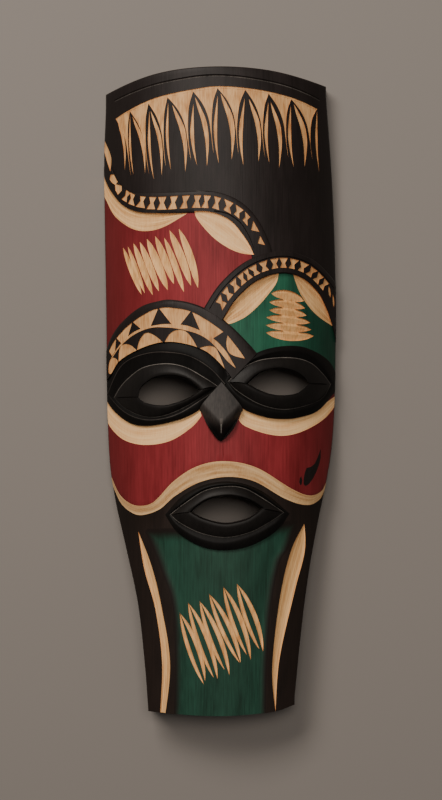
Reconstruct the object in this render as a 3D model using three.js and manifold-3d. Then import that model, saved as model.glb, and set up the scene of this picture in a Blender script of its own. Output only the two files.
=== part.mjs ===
// A carved wooden mask lying on its back: one piece of wood, hollow behind.
// Millimetres. X runs across the face, Y up the face, Z out of the face.
// The origin is the middle of the footprint, on the surface that the mask lies on.
import * as THREE from 'three';
import { mergeVertices } from 'three/addons/utils/BufferGeometryUtils.js';
import Module from 'manifold-3d';

const wasm = await Module();
wasm.setup();

// The half log that the mask is carved from
const logRadius = 88;
const crestHeight = 46;
const crestY = 10;
const lengthwiseBow = 5;
const halfLength = 200;

// The nose line is x = 0 while carving, and lies this far to the left of the footprint's middle
const noseToMiddle = 0.8;

// Outline, as [y, x] down each side and [x, y] along each end
const leftSide = [[-199, -45.5], [-172, -47.5], [-132, -52], [-97, -59.6], [-66, -66.8], [-40, -70.6],
  [0, -72.2], [60, -73], [155, -74.6], [190, -73.5]];
const rightSide = [[-195, 46], [-150, 50.5], [-112, 55.6], [-86, 60.4], [-60, 65.9], [-34, 70.3],
  [0, 72.3], [70, 72.8], [135, 70.6], [193, 66.5]];
const topEnd = [[-73.5, 189.8], [-41, 197.4], [-8, 200], [29, 198.8], [66.5, 193.2]];
const bottomEnd = [[46, -195], [34, -198.1], [0, -200], [-45.5, -199]];
const sideSteps = 15;
const endSteps = 9;
const overshoot = 10;

// The scooped back
const rimWidth = 11;
const hollowEnd = 185;
const hollowHeight = 33;
const hollowFallStart = -40;
const hollowFall = 0.05;
const hollowEndWidth = 0.45;
const hollowSquareness = 6;

// Steps between the painted levels
const chinDrop = 3.5;
const greenDrop = 1;
const bandRise = 1;
const archRise = 2;
const browRise = 2.6;
const rimEdgeRise = 0.9;
const rimCrestRise = 2.3;
const valleyRise = 1.1;
const lidSwellRise = 3.2;
const lidRise = 4.4;
const noseEdgeRise = 1;
const noseCornerRise = 4.4;
const noseRise = 8;

// How deep the gouge goes for each kind of cut
const fringeDepth = 0.9;
const strokeDepth = 1.1;
const scoopDepth = 2;
const chipDepth = 0.8;
const ribDepth = 0.4;
const lineDepth = 0.8;
const embed = 3;
const lift = 0.5;

const ridge = (y) => crestHeight - lengthwiseBow * ((y - crestY) / halfLength) ** 2;
const front = (x, y) => ridge(y) - logRadius + Math.sqrt(logRadius ** 2 - x ** 2);
const raised = (level, rise) => (x, y) => level(x, y) + rise;
const chinLevel = raised(front, -chinDrop);

const between = (a, b, t) => a + (b - a) * t;
const mix = (p, q, t) => [between(p[0], q[0], t), between(p[1], q[1], t)];
const steps = (count) => Array.from({ length: count + 1 }, (_, i) => i / count);

// A smooth line through a few points, as t in 0..1 -> [x, y]
function line(points) {
  const curve = new THREE.SplineCurve(points.map(([x, y]) => new THREE.Vector2(x, y)));
  return (t) => curve.getPointAt(t).toArray();
}

// A smooth value between stations given as [at, value]
function profile(stations) {
  const sorted = [...stations].sort((a, b) => a[0] - b[0]);
  const slope = sorted.map((_, i) => {
    const [before, after] = [sorted[Math.max(i - 1, 0)], sorted[Math.min(i + 1, sorted.length - 1)]];
    return (after[1] - before[1]) / (after[0] - before[0]);
  });
  return (at) => {
    const passed = sorted.filter(([s]) => s <= at).length;
    const i = Math.min(sorted.length - 2, Math.max(0, passed - 1));
    const [[s0, v0], [s1, v1]] = [sorted[i], sorted[i + 1]];
    const span = s1 - s0;
    const t = Math.min(1, Math.max(0, (at - s0) / span));
    const [t2, t3] = [t * t, t * t * t];
    return v0 * (2 * t3 - 3 * t2 + 1) + slope[i] * span * (t3 - 2 * t2 + t)
      + v1 * (3 * t2 - 2 * t3) + slope[i + 1] * span * (t3 - t2);
  };
}

const leftEdge = profile(leftSide);
const rightEdge = profile(rightSide);

// A closed mesh, with the corners that meet merged and the empty triangles dropped, as a solid
function solid(geometry) {
  const bare = geometry.clone();
  bare.deleteAttribute('normal');
  bare.deleteAttribute('uv');
  const merged = mergeVertices(bare);
  const corners = merged.index.array;
  const kept = [];
  for (let i = 0; i < corners.length; i += 3) {
    const [a, b, c] = corners.slice(i, i + 3);
    if (a !== b && b !== c && c !== a) kept.push(a, b, c);
  }
  return new wasm.Manifold(new wasm.Mesh({
    numProp: 3,
    vertProperties: new Float32Array(merged.attributes.position.array),
    triVerts: new Uint32Array(kept),
  }));
}

function meshOf(points, faces) {
  const geometry = new THREE.BufferGeometry();
  geometry.setAttribute('position', new THREE.Float32BufferAttribute(points.flat(), 3));
  geometry.setIndex(faces.flat());
  return geometry;
}

// A closed tube of rings that all have the same number of points, with a fan over each end.
// The rings run up the solid, and their points run round it counterclockwise seen from above.
function stacked(rings) {
  const count = rings[0].length;
  const points = rings.flat();
  const faces = [];
  for (let r = 0; r + 1 < rings.length; r += 1) {
    for (let i = 0; i < count; i += 1) {
      const [a, b] = [r * count + i, r * count + (i + 1) % count];
      faces.push([a, b, b + count], [a, b + count, a + count]);
    }
  }
  const middle = (ring) => [0, 1, 2].map((k) => ring.reduce((sum, p) => sum + p[k], 0) / count);
  const top = (rings.length - 1) * count;
  const [low, high] = [points.length, points.length + 1];
  points.push(middle(rings[0]), middle(rings[rings.length - 1]));
  for (let i = 0; i < count; i += 1) {
    const next = (i + 1) % count;
    faces.push([low, next, i], [high, top + i, top + next]);
  }
  return solid(meshOf(points, faces));
}

// A closed block between an upper and a lower sheet, both over the same rows and columns.
// Columns run along +X and rows along +Y on the sheets.
function block(columns, rows, upper, lower) {
  const wide = columns.length;
  const sheet = (at) => rows.flatMap((v) => columns.map((u) => at(u, v)));
  const points = [...sheet(upper), ...sheet(lower)];
  const half = points.length / 2;
  const faces = [];
  for (let r = 0; r + 1 < rows.length; r += 1) {
    for (let c = 0; c + 1 < wide; c += 1) {
      const [a, b, d] = [r * wide + c, r * wide + c + 1, (r + 1) * wide + c];
      const e = d + 1;
      faces.push([a, b, e], [a, e, d], [a + half, e + half, b + half], [a + half, d + half, e + half]);
    }
  }
  const wall = (p, q) => faces.push([p, q, q + half], [p, q + half, p + half]);
  for (let c = 0; c + 1 < wide; c += 1) {
    wall(c + 1, c);
    wall((rows.length - 1) * wide + c, (rows.length - 1) * wide + c + 1);
  }
  for (let r = 0; r + 1 < rows.length; r += 1) {
    wall(r * wide, (r + 1) * wide);
    wall((r + 1) * wide + wide - 1, r * wide + wide - 1);
  }
  return solid(meshOf(points, faces));
}

// A straight extrusion of a closed outline from one height to another
function prism(outline, bottom, top) {
  const shape = new THREE.Shape(outline.map(([x, y]) => new THREE.Vector2(x, y)));
  const geometry = new THREE.ExtrudeGeometry(shape, { depth: top - bottom, bevelEnabled: false });
  return solid(geometry.translate(0, 0, bottom));
}

// A V-shaped gouge cut between two lines that run the same way, deepest where it is widest.
// keel is where the bottom of the V lies, from 0 on the first line to 1 on the second.
const taper = 0.7;

function gouge(first, second, { depth, keel = 0.5, count = 5, level = front }) {
  const [a, b] = [line(first), line(second)];
  const stations = steps(count).map((t) => ({ p: a(t), q: b(t) }));
  const width = ({ p, q }) => Math.hypot(p[0] - q[0], p[1] - q[1]);
  const widest = Math.max(...stations.map(width));
  const points = [];
  for (const station of stations) {
    const share = (width(station) / widest) ** taper;
    const bottom = mix(station.p, station.q, keel);
    const spread = 1 + lift / Math.max(depth * share, lift);
    const [p, q] = [mix(bottom, station.p, spread), mix(bottom, station.q, spread)];
    points.push([...p, level(...p) + lift], [...q, level(...q) + lift],
      [...bottom, level(...bottom) - depth * share]);
  }
  const faces = [];
  for (let s = 0; s < count; s += 1) {
    for (const [i, j] of [[0, 1], [1, 2], [2, 0]]) {
      const [c, d] = [s * 3 + i, s * 3 + j];
      faces.push([c, d, d + 3], [c, d + 3, c + 3]);
    }
  }
  const end = count * 3;
  faces.push([0, 2, 1], [end, end + 1, end + 2]);
  const cutter = solid(meshOf(points, faces));
  return cutter.volume() > 0 ? cutter : solid(meshOf(points, faces.map(([c, d, e]) => [c, e, d])));
}

// A leaf-shaped cut from tip to tip, bowed sideways at its middle
function leaf(start, end, { width, bow = 0, ...rest }) {
  const along = [end[0] - start[0], end[1] - start[1]];
  const long = Math.hypot(...along);
  const across = [along[1] / long, -along[0] / long];
  const side = (offset) => [0, 0.25, 0.5, 0.75, 1].map((t) => {
    const reach = (bow + offset) * 4 * t * (1 - t);
    const [x, y] = mix(start, end, t);
    return [x + across[0] * reach, y + across[1] * reach];
  });
  return gouge(side(-width / 2), side(width / 2), rest);
}

// A three-sided chip, taken out with three pushes of the blade
function chip(corners, depth, level) {
  const middle = [0, 1].map((k) => corners.reduce((sum, p) => sum + p[k], 0) / 3);
  const spread = corners.map((corner) => mix(middle, corner, 1 + lift / depth));
  const turn = (spread[1][0] - spread[0][0]) * (spread[2][1] - spread[0][1])
    - (spread[1][1] - spread[0][1]) * (spread[2][0] - spread[0][0]);
  const ordered = turn > 0 ? spread : [...spread].reverse();
  const points = ordered.map((p) => [...p, level(...p) + lift]);
  points.push([...middle, level(...middle) - depth]);
  return solid(meshOf(points, [[0, 1, 2], [1, 0, 3], [2, 1, 3], [0, 2, 3]]));
}

// A place given by the distance along a line and the distance to its left, both in millimetres
function beside(points) {
  const middle = new THREE.SplineCurve(points.map(([x, y]) => new THREE.Vector2(x, y)));
  const long = middle.getLength();
  const at = (along, aside) => {
    const [p, way] = [middle.getPointAt(along / long), middle.getTangentAt(along / long)];
    return [p.x - way.y * aside, p.y + way.x * aside];
  };
  const edge = (aside) => (t) => at(t * long, aside(t * long));
  return { at, edge };
}

// A raised strip between two lines, with its cross-section as [share of the way from foot to head, rise]
function strip(foot, head, { section, count }) {
  const rises = new Map(section);
  const at = (u, v) => mix(foot(u), head(u), v);
  const top = (u, v) => [...at(u, v), front(...at(u, v)) + rises.get(v)];
  const under = (u, v) => [...at(u, v), front(...at(u, v)) - embed];
  return block(steps(count), [...rises.keys()], top, under);
}

// An almond outline: its upper line and its lower line both run from the left corner to the right one
function almond(left, right, upper, lower, count = 11) {
  const top = line([left, ...upper, right]);
  const base = line([left, ...lower, right]);
  const inner = steps(count).slice(1, -1);
  return [left, ...inner.map(base), right, ...inner.reverse().map(top)];
}

// A raised almond with an outer rim, a valley inside the rim and lids that swell towards the opening
const swellAt = 0.35;

function lids({ edge, crest, valley, opening }, level) {
  const ring = (outline, rise) => outline.map((p) => [...p, level(...p) + rise]);
  return stacked([
    ring(edge, -embed),
    ring(edge, rimEdgeRise),
    ring(crest, rimCrestRise),
    ring(valley, valleyRise),
    ring(valley.map((p, i) => mix(p, opening[i], swellAt)), lidSwellRise),
    ring(opening, lidRise),
  ]);
}

const union = (parts) => parts.reduce((whole, part) => whole.add(part));
const carve = (body, cutters) => cutters.reduce((whole, cutter) => whole.subtract(cutter), body);

// Body: the outline sawn out of the half log, and the back scooped out
const wayUp = steps(sideSteps);
const outline = [
  ...steps(endSteps).slice(1, -1).map((t) => line(bottomEnd)(1 - t)),
  ...wayUp.map((t) => {
    const y = between(rightSide[0][0], rightSide[rightSide.length - 1][0], t);
    return [rightEdge(y), y];
  }),
  ...steps(endSteps).slice(1, -1).map((t) => line(topEnd)(1 - t)),
  ...wayUp.map((t) => {
    const y = between(leftSide[leftSide.length - 1][0], leftSide[0][0], t);
    return [leftEdge(y), y];
  }),
];

const logReach = 80;
const logColumns = steps(18).map((t) => between(-logReach, logReach, t));
const logRows = steps(8).map((t) => between(-halfLength - overshoot, halfLength + overshoot, t));
const log = block(logColumns, logRows, (x, y) => [x, y, front(x, y)], (x, y) => [x, y, -overshoot]);

function hollow() {
  const across = steps(12).map((t) => -Math.cos(t * Math.PI));
  const along = [-1, -0.97, -0.9, -0.75, -0.5, -0.25, 0, 0.25, 0.5, 0.75, 0.9, 0.97, 1];
  const place = (u, v) => {
    const y = hollowEnd * v;
    const close = Math.sqrt(1 - Math.abs(v) ** hollowSquareness);
    const width = between(hollowEndWidth, 1, close);
    const [low, high] = [leftEdge(y) + rimWidth, rightEdge(y) - rimWidth];
    const x = between(low, high, 0.5 + 0.5 * u * width);
    const height = hollowHeight + Math.min(0, y - hollowFallStart) * hollowFall;
    return [x, y, height * close * Math.sqrt(Math.max(0, 1 - u * u))];
  };
  const floor = -2;
  return block(across, along, place, (u, v) => [...place(u, v).slice(0, 2), floor]);
}

// The step under the cheeks, from the red cheek down to the black lip zone
const waveTop = [[-86, -22], [-74, -42], [-69.1, -53.2], [-64, -63.3], [-56.3, -69.2], [-48.3, -70],
  [-41.4, -67.2], [-29.5, -54.4], [-15.7, -45.1], [1.2, -41.5], [21.7, -45.6], [45, -59.9], [56, -64],
  [63.9, -60.8], [67.5, -53], [74, -40], [86, -22]];
const waveFoot = [[-86, -30], [-74, -50], [-68.4, -59.6], [-63.1, -69.7], [-55, -75.7], [-48.5, -76.4],
  [-37.9, -72.4], [-28.6, -64.2], [-13.2, -55.4], [4.3, -52], [20.8, -55], [39.9, -66.1], [54, -70.5],
  [62.4, -67.1], [67, -59], [74, -48], [86, -30]];

function chinRecess() {
  const [top, foot] = [profile(waveTop), profile(waveFoot)];
  const [halfReach, above, cap] = [79, 0.8, 75];
  const columns = steps(30).map((t) => between(-halfReach, halfReach, t));
  const down = [0, 0.3, 0.6, 1];
  const end = -halfLength - overshoot;
  const lower = (x, row) => {
    if (row > 1) {
      const slope = (top(x) - foot(x)) / chinDrop;
      const y = top(x) + slope * above;
      return [x, y, front(x, top(x)) + above];
    }
    const y = between(end, foot(x), row);
    return [x, y, chinLevel(x, y)];
  };
  const rows = [...down, 2];
  return block(columns, rows, (x, row) => [...lower(x, row).slice(0, 2), cap], lower);
}

// The green field of the chin, a little lower than the black bands beside it
const greenLeft = [[-29.7, -210], [-28.7, -167.5], [-30.3, -131.8], [-37.8, -109.3], [-42.8, -97.1],
  [-49, -84.4]];
const greenRight = [[28, -210], [28.7, -167.5], [31.5, -131], [36.8, -105.2], [41.9, -97], [48.6, -79]];

function greenRecess() {
  const [left, right] = [line(greenLeft), line(greenRight)];
  const [bevel, above, cap] = [0.05, 0.4, 12];
  const across = [0, ...steps(8).map((t) => between(bevel, 1 - bevel, t)), 1];
  const place = (u, v) => mix(left(v), right(v), u);
  const sink = (u) => (u === 0 || u === 1 ? -above : greenDrop);
  return block(across, steps(8), (u, v) => [...place(u, v), chinLevel(...place(u, v)) + cap],
    (u, v) => [...place(u, v), chinLevel(...place(u, v)) - sink(u)]);
}

// Scoops of bare wood beside the bands
const scoops = [
  // under the left half of the wavy band
  gouge([[-75, 140], [-72.9, 133.3], [-68.5, 125.4], [-61.7, 117.3], [-51.9, 112], [-37.6, 110.1],
    [-20.5, 109.6]],
    [[-75, 126], [-72.9, 121.9], [-66.8, 110.9], [-56, 102.2], [-45.5, 99.7], [-34.5, 102], [-20.5, 109.6]],
    { depth: scoopDepth, keel: 0.12, count: 9 }),
  // under its right half
  gouge([[-16.3, 110.7], [-9, 110.5], [-1.4, 108.6], [6.3, 104.4], [12.4, 97.5], [17, 90.7], [20.2, 84]],
    [[-16.3, 110.7], [-15.1, 106.8], [-10.5, 100.6], [-3.7, 93.6], [4.7, 87.9], [12.4, 84.9], [20.2, 84]],
    { depth: scoopDepth, keel: 0.3, count: 9 }),
  // inside the right brow arch
  gouge([[35.6, 73.4], [27, 71.4], [17.4, 65.1], [9.2, 57.6], [3.1, 50.7], [1.5, 44]],
    [[35.6, 73.4], [33.9, 66.8], [28.4, 59.2], [22.9, 52.9], [16, 46.7], [9.9, 43.3], [4.5, 41.6], [1.5, 44]],
    { depth: scoopDepth, keel: 0.45, count: 8 }),
  gouge([[44.4, 73.4], [48.6, 72.2], [55.8, 67.8], [62.4, 61.9], [67.6, 54.6], [71.2, 47.8], [74, 40.9]],
    [[44.4, 73.4], [47.2, 65.3], [50.7, 58.5], [56.5, 51.2], [63.1, 45.9], [74, 40]],
    { depth: scoopDepth, keel: 0.45, count: 8 }),
  // under the eyes
  gouge([[-74, -3], [-68.6, -10], [-56.6, -18.6], [-43.8, -20.2], [-25.1, -16.2], [-13, -10]],
    [[-74, -13], [-70, -21.9], [-60.6, -29.9], [-47, -32.7], [-31.3, -30], [-18, -21.6], [-11.9, -14.6]],
    { depth: scoopDepth, keel: 0.12, count: 9 }),
  gouge([[13.4, -10], [20.8, -13.2], [33.1, -16], [42.5, -16], [55.3, -13], [73, -2]],
    [[10.8, -17], [14.6, -20.8], [26.9, -25.4], [39.4, -26.9], [52.1, -23.7], [65.2, -16.4], [74.5, -6]],
    { depth: scoopDepth, keel: 0.12, count: 9 }),
  // at the left edge above the wavy band
  gouge([[-76, 160], [-73.4, 150], [-70, 139.4]], [[-74, 160], [-69.6, 149], [-70, 139.4]],
    { depth: strokeDepth, count: 4 }),
];

// Long leaves down both sides of the chin
const chinLeaves = [
  gouge([[-51.7, -86.4], [-47.9, -109.8], [-40.7, -135.1], [-36.6, -168], [-38, -202]],
    [[-51.7, -86.4], [-43.1, -107.9], [-36.8, -133], [-31.5, -168], [-34.8, -202]],
    { depth: scoopDepth, count: 8, level: chinLevel }),
  gouge([[52, -82], [43.4, -98.5], [36.4, -127.8], [31.7, -170], [33.8, -198.3]],
    [[52, -82], [52.3, -99.1], [45.7, -124.2], [36.3, -165], [33.8, -198.3]],
    { depth: scoopDepth, count: 8, level: chinLevel }),
];

// The fringe under the domed top hangs from a thin strip of bare wood. Between two apices hangs a spike
// that narrows to a long tail, and from under each apex a thin blade runs down each side of the spikes.
const fringeEdge = [[-66.5, 172.6], [-58.4, 176.3], [-45.4, 180.9], [-33.5, 183.6], [-17, 186], [-2.7, 187.6],
  [14.7, 186.8], [29.2, 185.2], [43.1, 182.8], [51.6, 180.6], [60.6, 177.6]];
const apices = [[-66.3, 172.4], [-57.1, 176], [-45.1, 179.3], [-33, 182], [-17.1, 184.7], [-2.2, 186.5],
  [14.9, 185.7], [29.3, 184], [43.5, 181.8], [59.8, 177.2]];
const spikeTips = [[-56.2, 134.6], [-44.6, 134.9], [-34, 138.6], [-18.3, 141.7], [-4.4, 145.5],
  [10.7, 145.6], [27, 144.1], [41.6, 145], [57.2, 145.2]];
const rightStarts = [[-65.2, 171.6], [-55.4, 172.2], [-43.6, 174.2], [-30, 176.9], [-16, 181.1],
  [-0.3, 183.2], [17.1, 180], [30.5, 178.7], [45.1, 178.9]];
const rightTips = [[-60.3, 139], [-47.1, 135.8], [-36.6, 133.6], [-21.9, 135], [-8.6, 138], [6.5, 142.1],
  [23, 141.5], [35.9, 138.4], [52, 140.1]];
const leftStarts = [[-56.9, 173.8], [-44.4, 174.3], [-32.6, 178.6], [-16.9, 177.3], [-2, 181.9],
  [14.6, 180.4], [29.2, 178.9], [43.3, 178.2], [60.3, 177]];
const leftTips = [[-54.6, 135.1], [-41.6, 131.5], [-30.9, 136.7], [-14.8, 138.8], [-1.4, 139.7],
  [13.7, 138.8], [29.7, 140.8], [45, 139.4], [61.6, 138.1]];
const stripDrop = 0.4;

// How far each edge swings sideways from the straight line, as shares of its length and of the bay's width
const spikeLeft = [[0, 0], [0.2, 0.22], [0.42, 0.27], [0.68, 0.16], [0.86, 0.06], [1, 0]];
const spikeRight = [[0, 0], [0.2, -0.14], [0.43, -0.155], [0.7, -0.12], [1, 0]];
const rightOuter = [[0, 0], [0.14, 0.15], [0.36, 0.3], [0.65, 0.25], [1, 0]];
const rightInner = [[0, 0], [0.14, 0.02], [0.36, 0.1], [0.65, 0.11], [1, 0]];
const leftOuter = [[0, 0], [0.4, -0.2], [0.7, -0.16], [1, 0]];
const leftInner = [[0, 0], [0.4, -0.04], [0.7, -0.05], [1, 0]];

const fringe = spikeTips.flatMap((tip, i) => {
  const [here, after] = [apices[i], apices[i + 1]];
  const bay = after[0] - here[0];
  const swung = (start, end, swing) => swing.map(([t, share]) => {
    const [x, y] = mix(start, end, t);
    return [x + share * bay, y];
  });
  return [
    gouge(swung(here, tip, spikeLeft), swung(after, tip, spikeRight), { depth: fringeDepth, count: 5 }),
    gouge(swung(rightStarts[i], rightTips[i], rightOuter), swung(rightStarts[i], rightTips[i], rightInner),
      { depth: fringeDepth, count: 4 }),
    gouge(swung(leftStarts[i], leftTips[i], leftOuter), swung(leftStarts[i], leftTips[i], leftInner),
      { depth: fringeDepth, count: 4 }),
  ];
});
fringe.push(gouge(fringeEdge, apices.map(([x, y]) => [x, y - stripDrop]), { depth: fringeDepth, count: 10 }));

// The comb of nine leaves on the red field, and the stack of six on the green one
const combTops = [[-61.3, 90.6], [-58.2, 91.1], [-54.5, 92.8], [-50.4, 93.3], [-45.9, 94.9], [-40.6, 96.2],
  [-35, 95.1], [-31.7, 99.6], [-25.9, 100.2]];
const [combFirstFoot, combLastFoot] = [[-49.5, 60.3], [-14.2, 63.8]];
const comb = combTops.map((top, i) => {
  const t = i / (combTops.length - 1);
  return leaf(top, mix(combFirstFoot, combLastFoot, t),
    { width: between(4.4, 5.6, t), bow: -1.6, depth: strokeDepth, count: 4 });
});

const stackLeaves = [[[30.8, 60.3], [51.5, 56.8]], [[29.6, 55.5], [52.2, 52.2]], [[29.6, 50.3], [53.5, 48]],
  [[27.7, 45.6], [55.6, 43.2]], [[27.7, 40.9], [56.6, 38.9]], [[27.5, 36.5], [57.9, 35.3]]];
const stackBows = [-1.6, -0.4, -0.2, 0, 0.3, 0.9];
const stack = stackLeaves.map(([start, end], i) => leaf(start, end,
  { width: 4.4, bow: stackBows[i], depth: strokeDepth, count: 4 }));

// The pairs of thin strokes on the chin
const strokeTops = [[-25.5, -135.8], [-20.4, -129.1], [-13.1, -128.2], [-7.4, -123.5], [1.4, -119.2],
  [9.8, -117.4]];
const leftStrokeEnds = [[-10.4, -180.5], [-10, -180], [2.2, -171.1], [11.6, -167], [16, -162.1],
  [23.7, -158.9]];
const rightStrokeEnds = [[-9.8, -178], [-2.1, -176.9], [5.2, -174.6], [12.1, -166.9], [18.3, -165.3],
  [26, -160.5]];
const greenLevel = raised(chinLevel, -greenDrop);
const strokeLook = { depth: strokeDepth, count: 4, level: greenLevel };
const secondStart = 0.02;
const strokes = strokeTops.flatMap((top, i) => [
  leaf(top, leftStrokeEnds[i], { ...strokeLook, width: 2.6, bow: 1.8 }),
  leaf(mix(top, rightStrokeEnds[i], secondStart), rightStrokeEnds[i], { ...strokeLook, width: 3, bow: -2.8 }),
]);

// The thin line that follows the domed top
const topLinePoints = [[-67.3, 184.8], [-54.8, 188.2], [-40.5, 191.3], [-26.6, 193.2], [-12.9, 194.7],
  [0, 195], [16.8, 193.8], [37.5, 191], [51.7, 187.7], [61.9, 184.4]];
const lineWidth = 0.9;
const topLine = gouge(topLinePoints, topLinePoints.map(([x, y]) => [x, y - lineWidth]),
  { depth: lineDepth, count: 9 });

// Two rows of chips along a band, which meet point over point like hourglasses. A glass is given by where
// its head and its foot begin and end along the band. waist is how far its chips reach past each other.
const waist = 0.33;

function hourglasses(at, glasses, { high, low, level }) {
  return glasses.flatMap(([headStart, headEnd, footStart, footEnd]) => {
    const [head, foot] = [(headStart + headEnd) / 2, (footStart + footEnd) / 2];
    const [top, base] = [high(head), low(foot)];
    const past = 0.5 + waist;
    const pointDown = at(between(head, foot, past), between(top, base, past));
    const pointUp = at(between(foot, head, past), between(base, top, past));
    return [chip([at(headStart, top), at(headEnd, top), pointDown], chipDepth, level),
      chip([at(footStart, base), at(footEnd, base), pointUp], chipDepth, level)];
  });
}

const flatTop = (rise) => [[0, rise], [0.5, rise], [1, rise]];

// The wavy band across the forehead, narrower where it comes over the left side
const wavy = beside([[-73, 144], [-67.7, 131.5], [-59.7, 122.4], [-49.7, 117.8], [-36, 116.6], [-15, 117],
  [-2.5, 115.4], [9, 109.7], [17.5, 101], [24, 89.5], [26, 83]]);
const wavyHead = profile([[0, 2.7], [20, 3.2], [42, 6.4], [69, 6], [98, 7.2], [130, 5.7]]);
const wavyFoot = profile([[0, -3], [17, -5.2], [30, -6.8], [45, -7.2], [130, -7]]);
const wavyBand = strip(wavy.edge(wavyFoot), wavy.edge(wavyHead), { section: flatTop(bandRise), count: 21 });
const wavyGlasses = [[23.4, 27.6, 24.8, 28.2], [27, 31.2, 29.6, 33.5], [35.4, 39.4, 34.4, 39.9],
  [42, 46.6, 41, 46], [47.9, 53, 47.3, 53], [55.6, 60.3, 53.8, 59.3], [63.1, 67.7, 61.2, 65.9],
  [70.2, 74.4, 68.6, 74.2], [76, 79.9, 74.8, 79.5], [81.8, 85.6, 82, 87], [87.5, 93, 89.7, 95.1],
  [94.6, 99.7, 96.7, 101.2], [100.9, 105, 103.3, 108]];
const wavyChips = hourglasses(wavy.at, wavyGlasses, {
  high: profile([[20, 3.1], [32, 3.7], [75, 3.6], [92, 4.2], [105, 4.2]]),
  low: profile([[20, -2.4], [36, -3.3], [50, -4.3], [75, -4.2], [85, -3.5], [95, -2], [108, -0.4]]),
  level: raised(front, bandRise),
});
// Single chips at its two ends
const loneChips = [
  [[-70.2, 134.2], [-65.1, 131.8], [-66.7, 129.3]],
  [[-67.2, 131.3], [-61.7, 128.6], [-64.6, 123.9]],
  [[19.7, 104.9], [23.5, 98.1], [18.4, 99.1]],
  [[23.9, 95.8], [27, 90.1], [22.5, 91.1]],
].map((corners) => chip(corners, chipDepth, raised(front, bandRise)));

// The right brow: a half ring with chips between its outer and its inner border
const arch = beside([[-8, 40], [-3.4, 49.5], [5.5, 62.5], [19.5, 74.3], [36.9, 79.9], [53, 77], [65.3, 67.2],
  [71.5, 57.3], [75, 49]]);
const archHalfWidth = 7;
const rightArch = strip(arch.edge(() => -archHalfWidth), arch.edge(() => archHalfWidth),
  { section: flatTop(archRise), count: 16 });
const archGlasses = [[15.6, 20.3, 13.2, 18.2], [22, 26.4, 20, 25.2], [29, 33.6, 26.8, 31.5],
  [35.2, 39.2, 33, 37.2], [39.6, 42.4, 38.6, 42.4], [43.2, 48, 44, 48], [50, 54.9, 49.5, 54.1],
  [57.2, 61.7, 56.4, 60.6], [62.6, 67, 62.4, 66.6], [68.7, 73.6, 68.4, 72.2], [75, 80, 75, 78.8],
  [82, 86, 81, 85.2], [87.3, 91.4, 87.4, 91.8], [92.6, 96.6, 93.4, 97.4], [98.6, 101.6, 99.4, 102.4],
  [103, 106, 104, 107]];
const [archHigh, archLow] = [2.7, -3.3];
const archChips = hourglasses(arch.at, archGlasses,
  { high: () => archHigh, low: () => archLow, level: raised(front, archRise) });

// The left brow: a black outer rim, then bare wood with black triangles on both sides of a thin rib.
// Its lines are given as [x, y], and y is a smooth value of x along each of them.
const browHead = profile([[-76, 18], [-72, 28], [-69.9, 33.5], [-63.2, 42.6], [-50.1, 52.6], [-37.5, 56.2],
  [-31.2, 56.7], [-18.9, 54.6], [-6.7, 49.6], [5.5, 40.8], [17.7, 28.7], [22.5, 23]]);
const browWood = profile([[-72, 22], [-70.6, 26], [-66.5, 32.8], [-56.6, 42.3], [-43.7, 49.9], [-37, 51.7],
  [-31.2, 51.8], [-18.9, 49.4], [-6.7, 42.6], [4, 34.7]]);
const ribTop = profile([[-70, 20], [-67.5, 24.6], [-58, 34.8], [-49.5, 39.3], [-37.5, 41.6], [-31.2, 41.8],
  [-18.9, 40.1], [-4.9, 32.9], [3.3, 24.3], [8.8, 14.9]]);
const ribUnder = profile([[-70, 19.2], [-67.5, 23.6], [-56.6, 34], [-43.7, 39.5], [-31.2, 39.4],
  [-23.8, 38.2], [-12.8, 34.8], [-4.9, 29.2], [5.5, 17], [8.8, 14.7]]);
const browFoot = profile([[-75, 4], [-69.2, 11.5], [-64.2, 19], [-52.3, 25.9], [-40.6, 29.9], [-31, 30.8],
  [-22, 29.5], [-14.6, 27.3], [-6.7, 23.1], [3, 13.4], [9, 5]]);
const browEdgeDrop = 1.4;
const browSection = [[0, browRise], [0.35, browRise], [0.7, browRise], [0.92, browRise],
  [1, browRise - browEdgeDrop]];
const along = (edge, from, to) => (t) => [between(from, to, t), edge(between(from, to, t))];
const leftBrow = strip(along(browFoot, -74, 7), along(browHead, -75.5, 22),
  { section: browSection, count: 18 });

// Wood between the black triangles above the rib: where each starts and ends on the rib, and on the rim
const browTeeth = [[-68.5, -66.5, -70.6, -65.8], [-62.2, -58, -65.5, -55.1], [-49.5, -43.4, -54.8, -38.6],
  [-30.2, -25, -38.1, -18.5], [-12.8, -4.9, -17.6, 1.4]];
const lastTooth = [[[4, 34.5], [7.9, 29.7], [11.6, 24.8], [14.6, 20.4]],
  [[4, 34.5], [3.2, 29.8], [4.3, 24.9], [7.6, 22.2], [14.6, 20.4]]];
// Wooden domes below the rib: the line over each of them, from its left end to its right end
const browDomes = [
  [[-68.9, 11.5], [-70.8, 12.1], [-70.8, 17.2], [-69.6, 20.9], [-67.2, 21.8], [-65, 20.2], [-64.5, 17.6]],
  [[-64.2, 19.3], [-63.8, 25.8], [-62.4, 29.2], [-59.5, 30.1], [-55.9, 29.1], [-52.3, 26]],
  [[-52, 26.1], [-51.1, 30.4], [-48.8, 34.7], [-46.1, 36.7], [-43.1, 36.1], [-39.3, 33.8], [-35.6, 30.4]],
  [[-34.7, 30.6], [-31.9, 35.2], [-28.1, 37.8], [-23.8, 38.1], [-20.8, 36.5], [-17.7, 32.9], [-14.6, 27.3]],
  [[-12.8, 27], [-9.3, 28], [-6.2, 28.2], [-3.3, 26.9], [-1.4, 23.4], [0.3, 19.4], [2.5, 13.7]],
];
const [ribStart, ribEnd] = [-69.5, 8.8];

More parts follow.
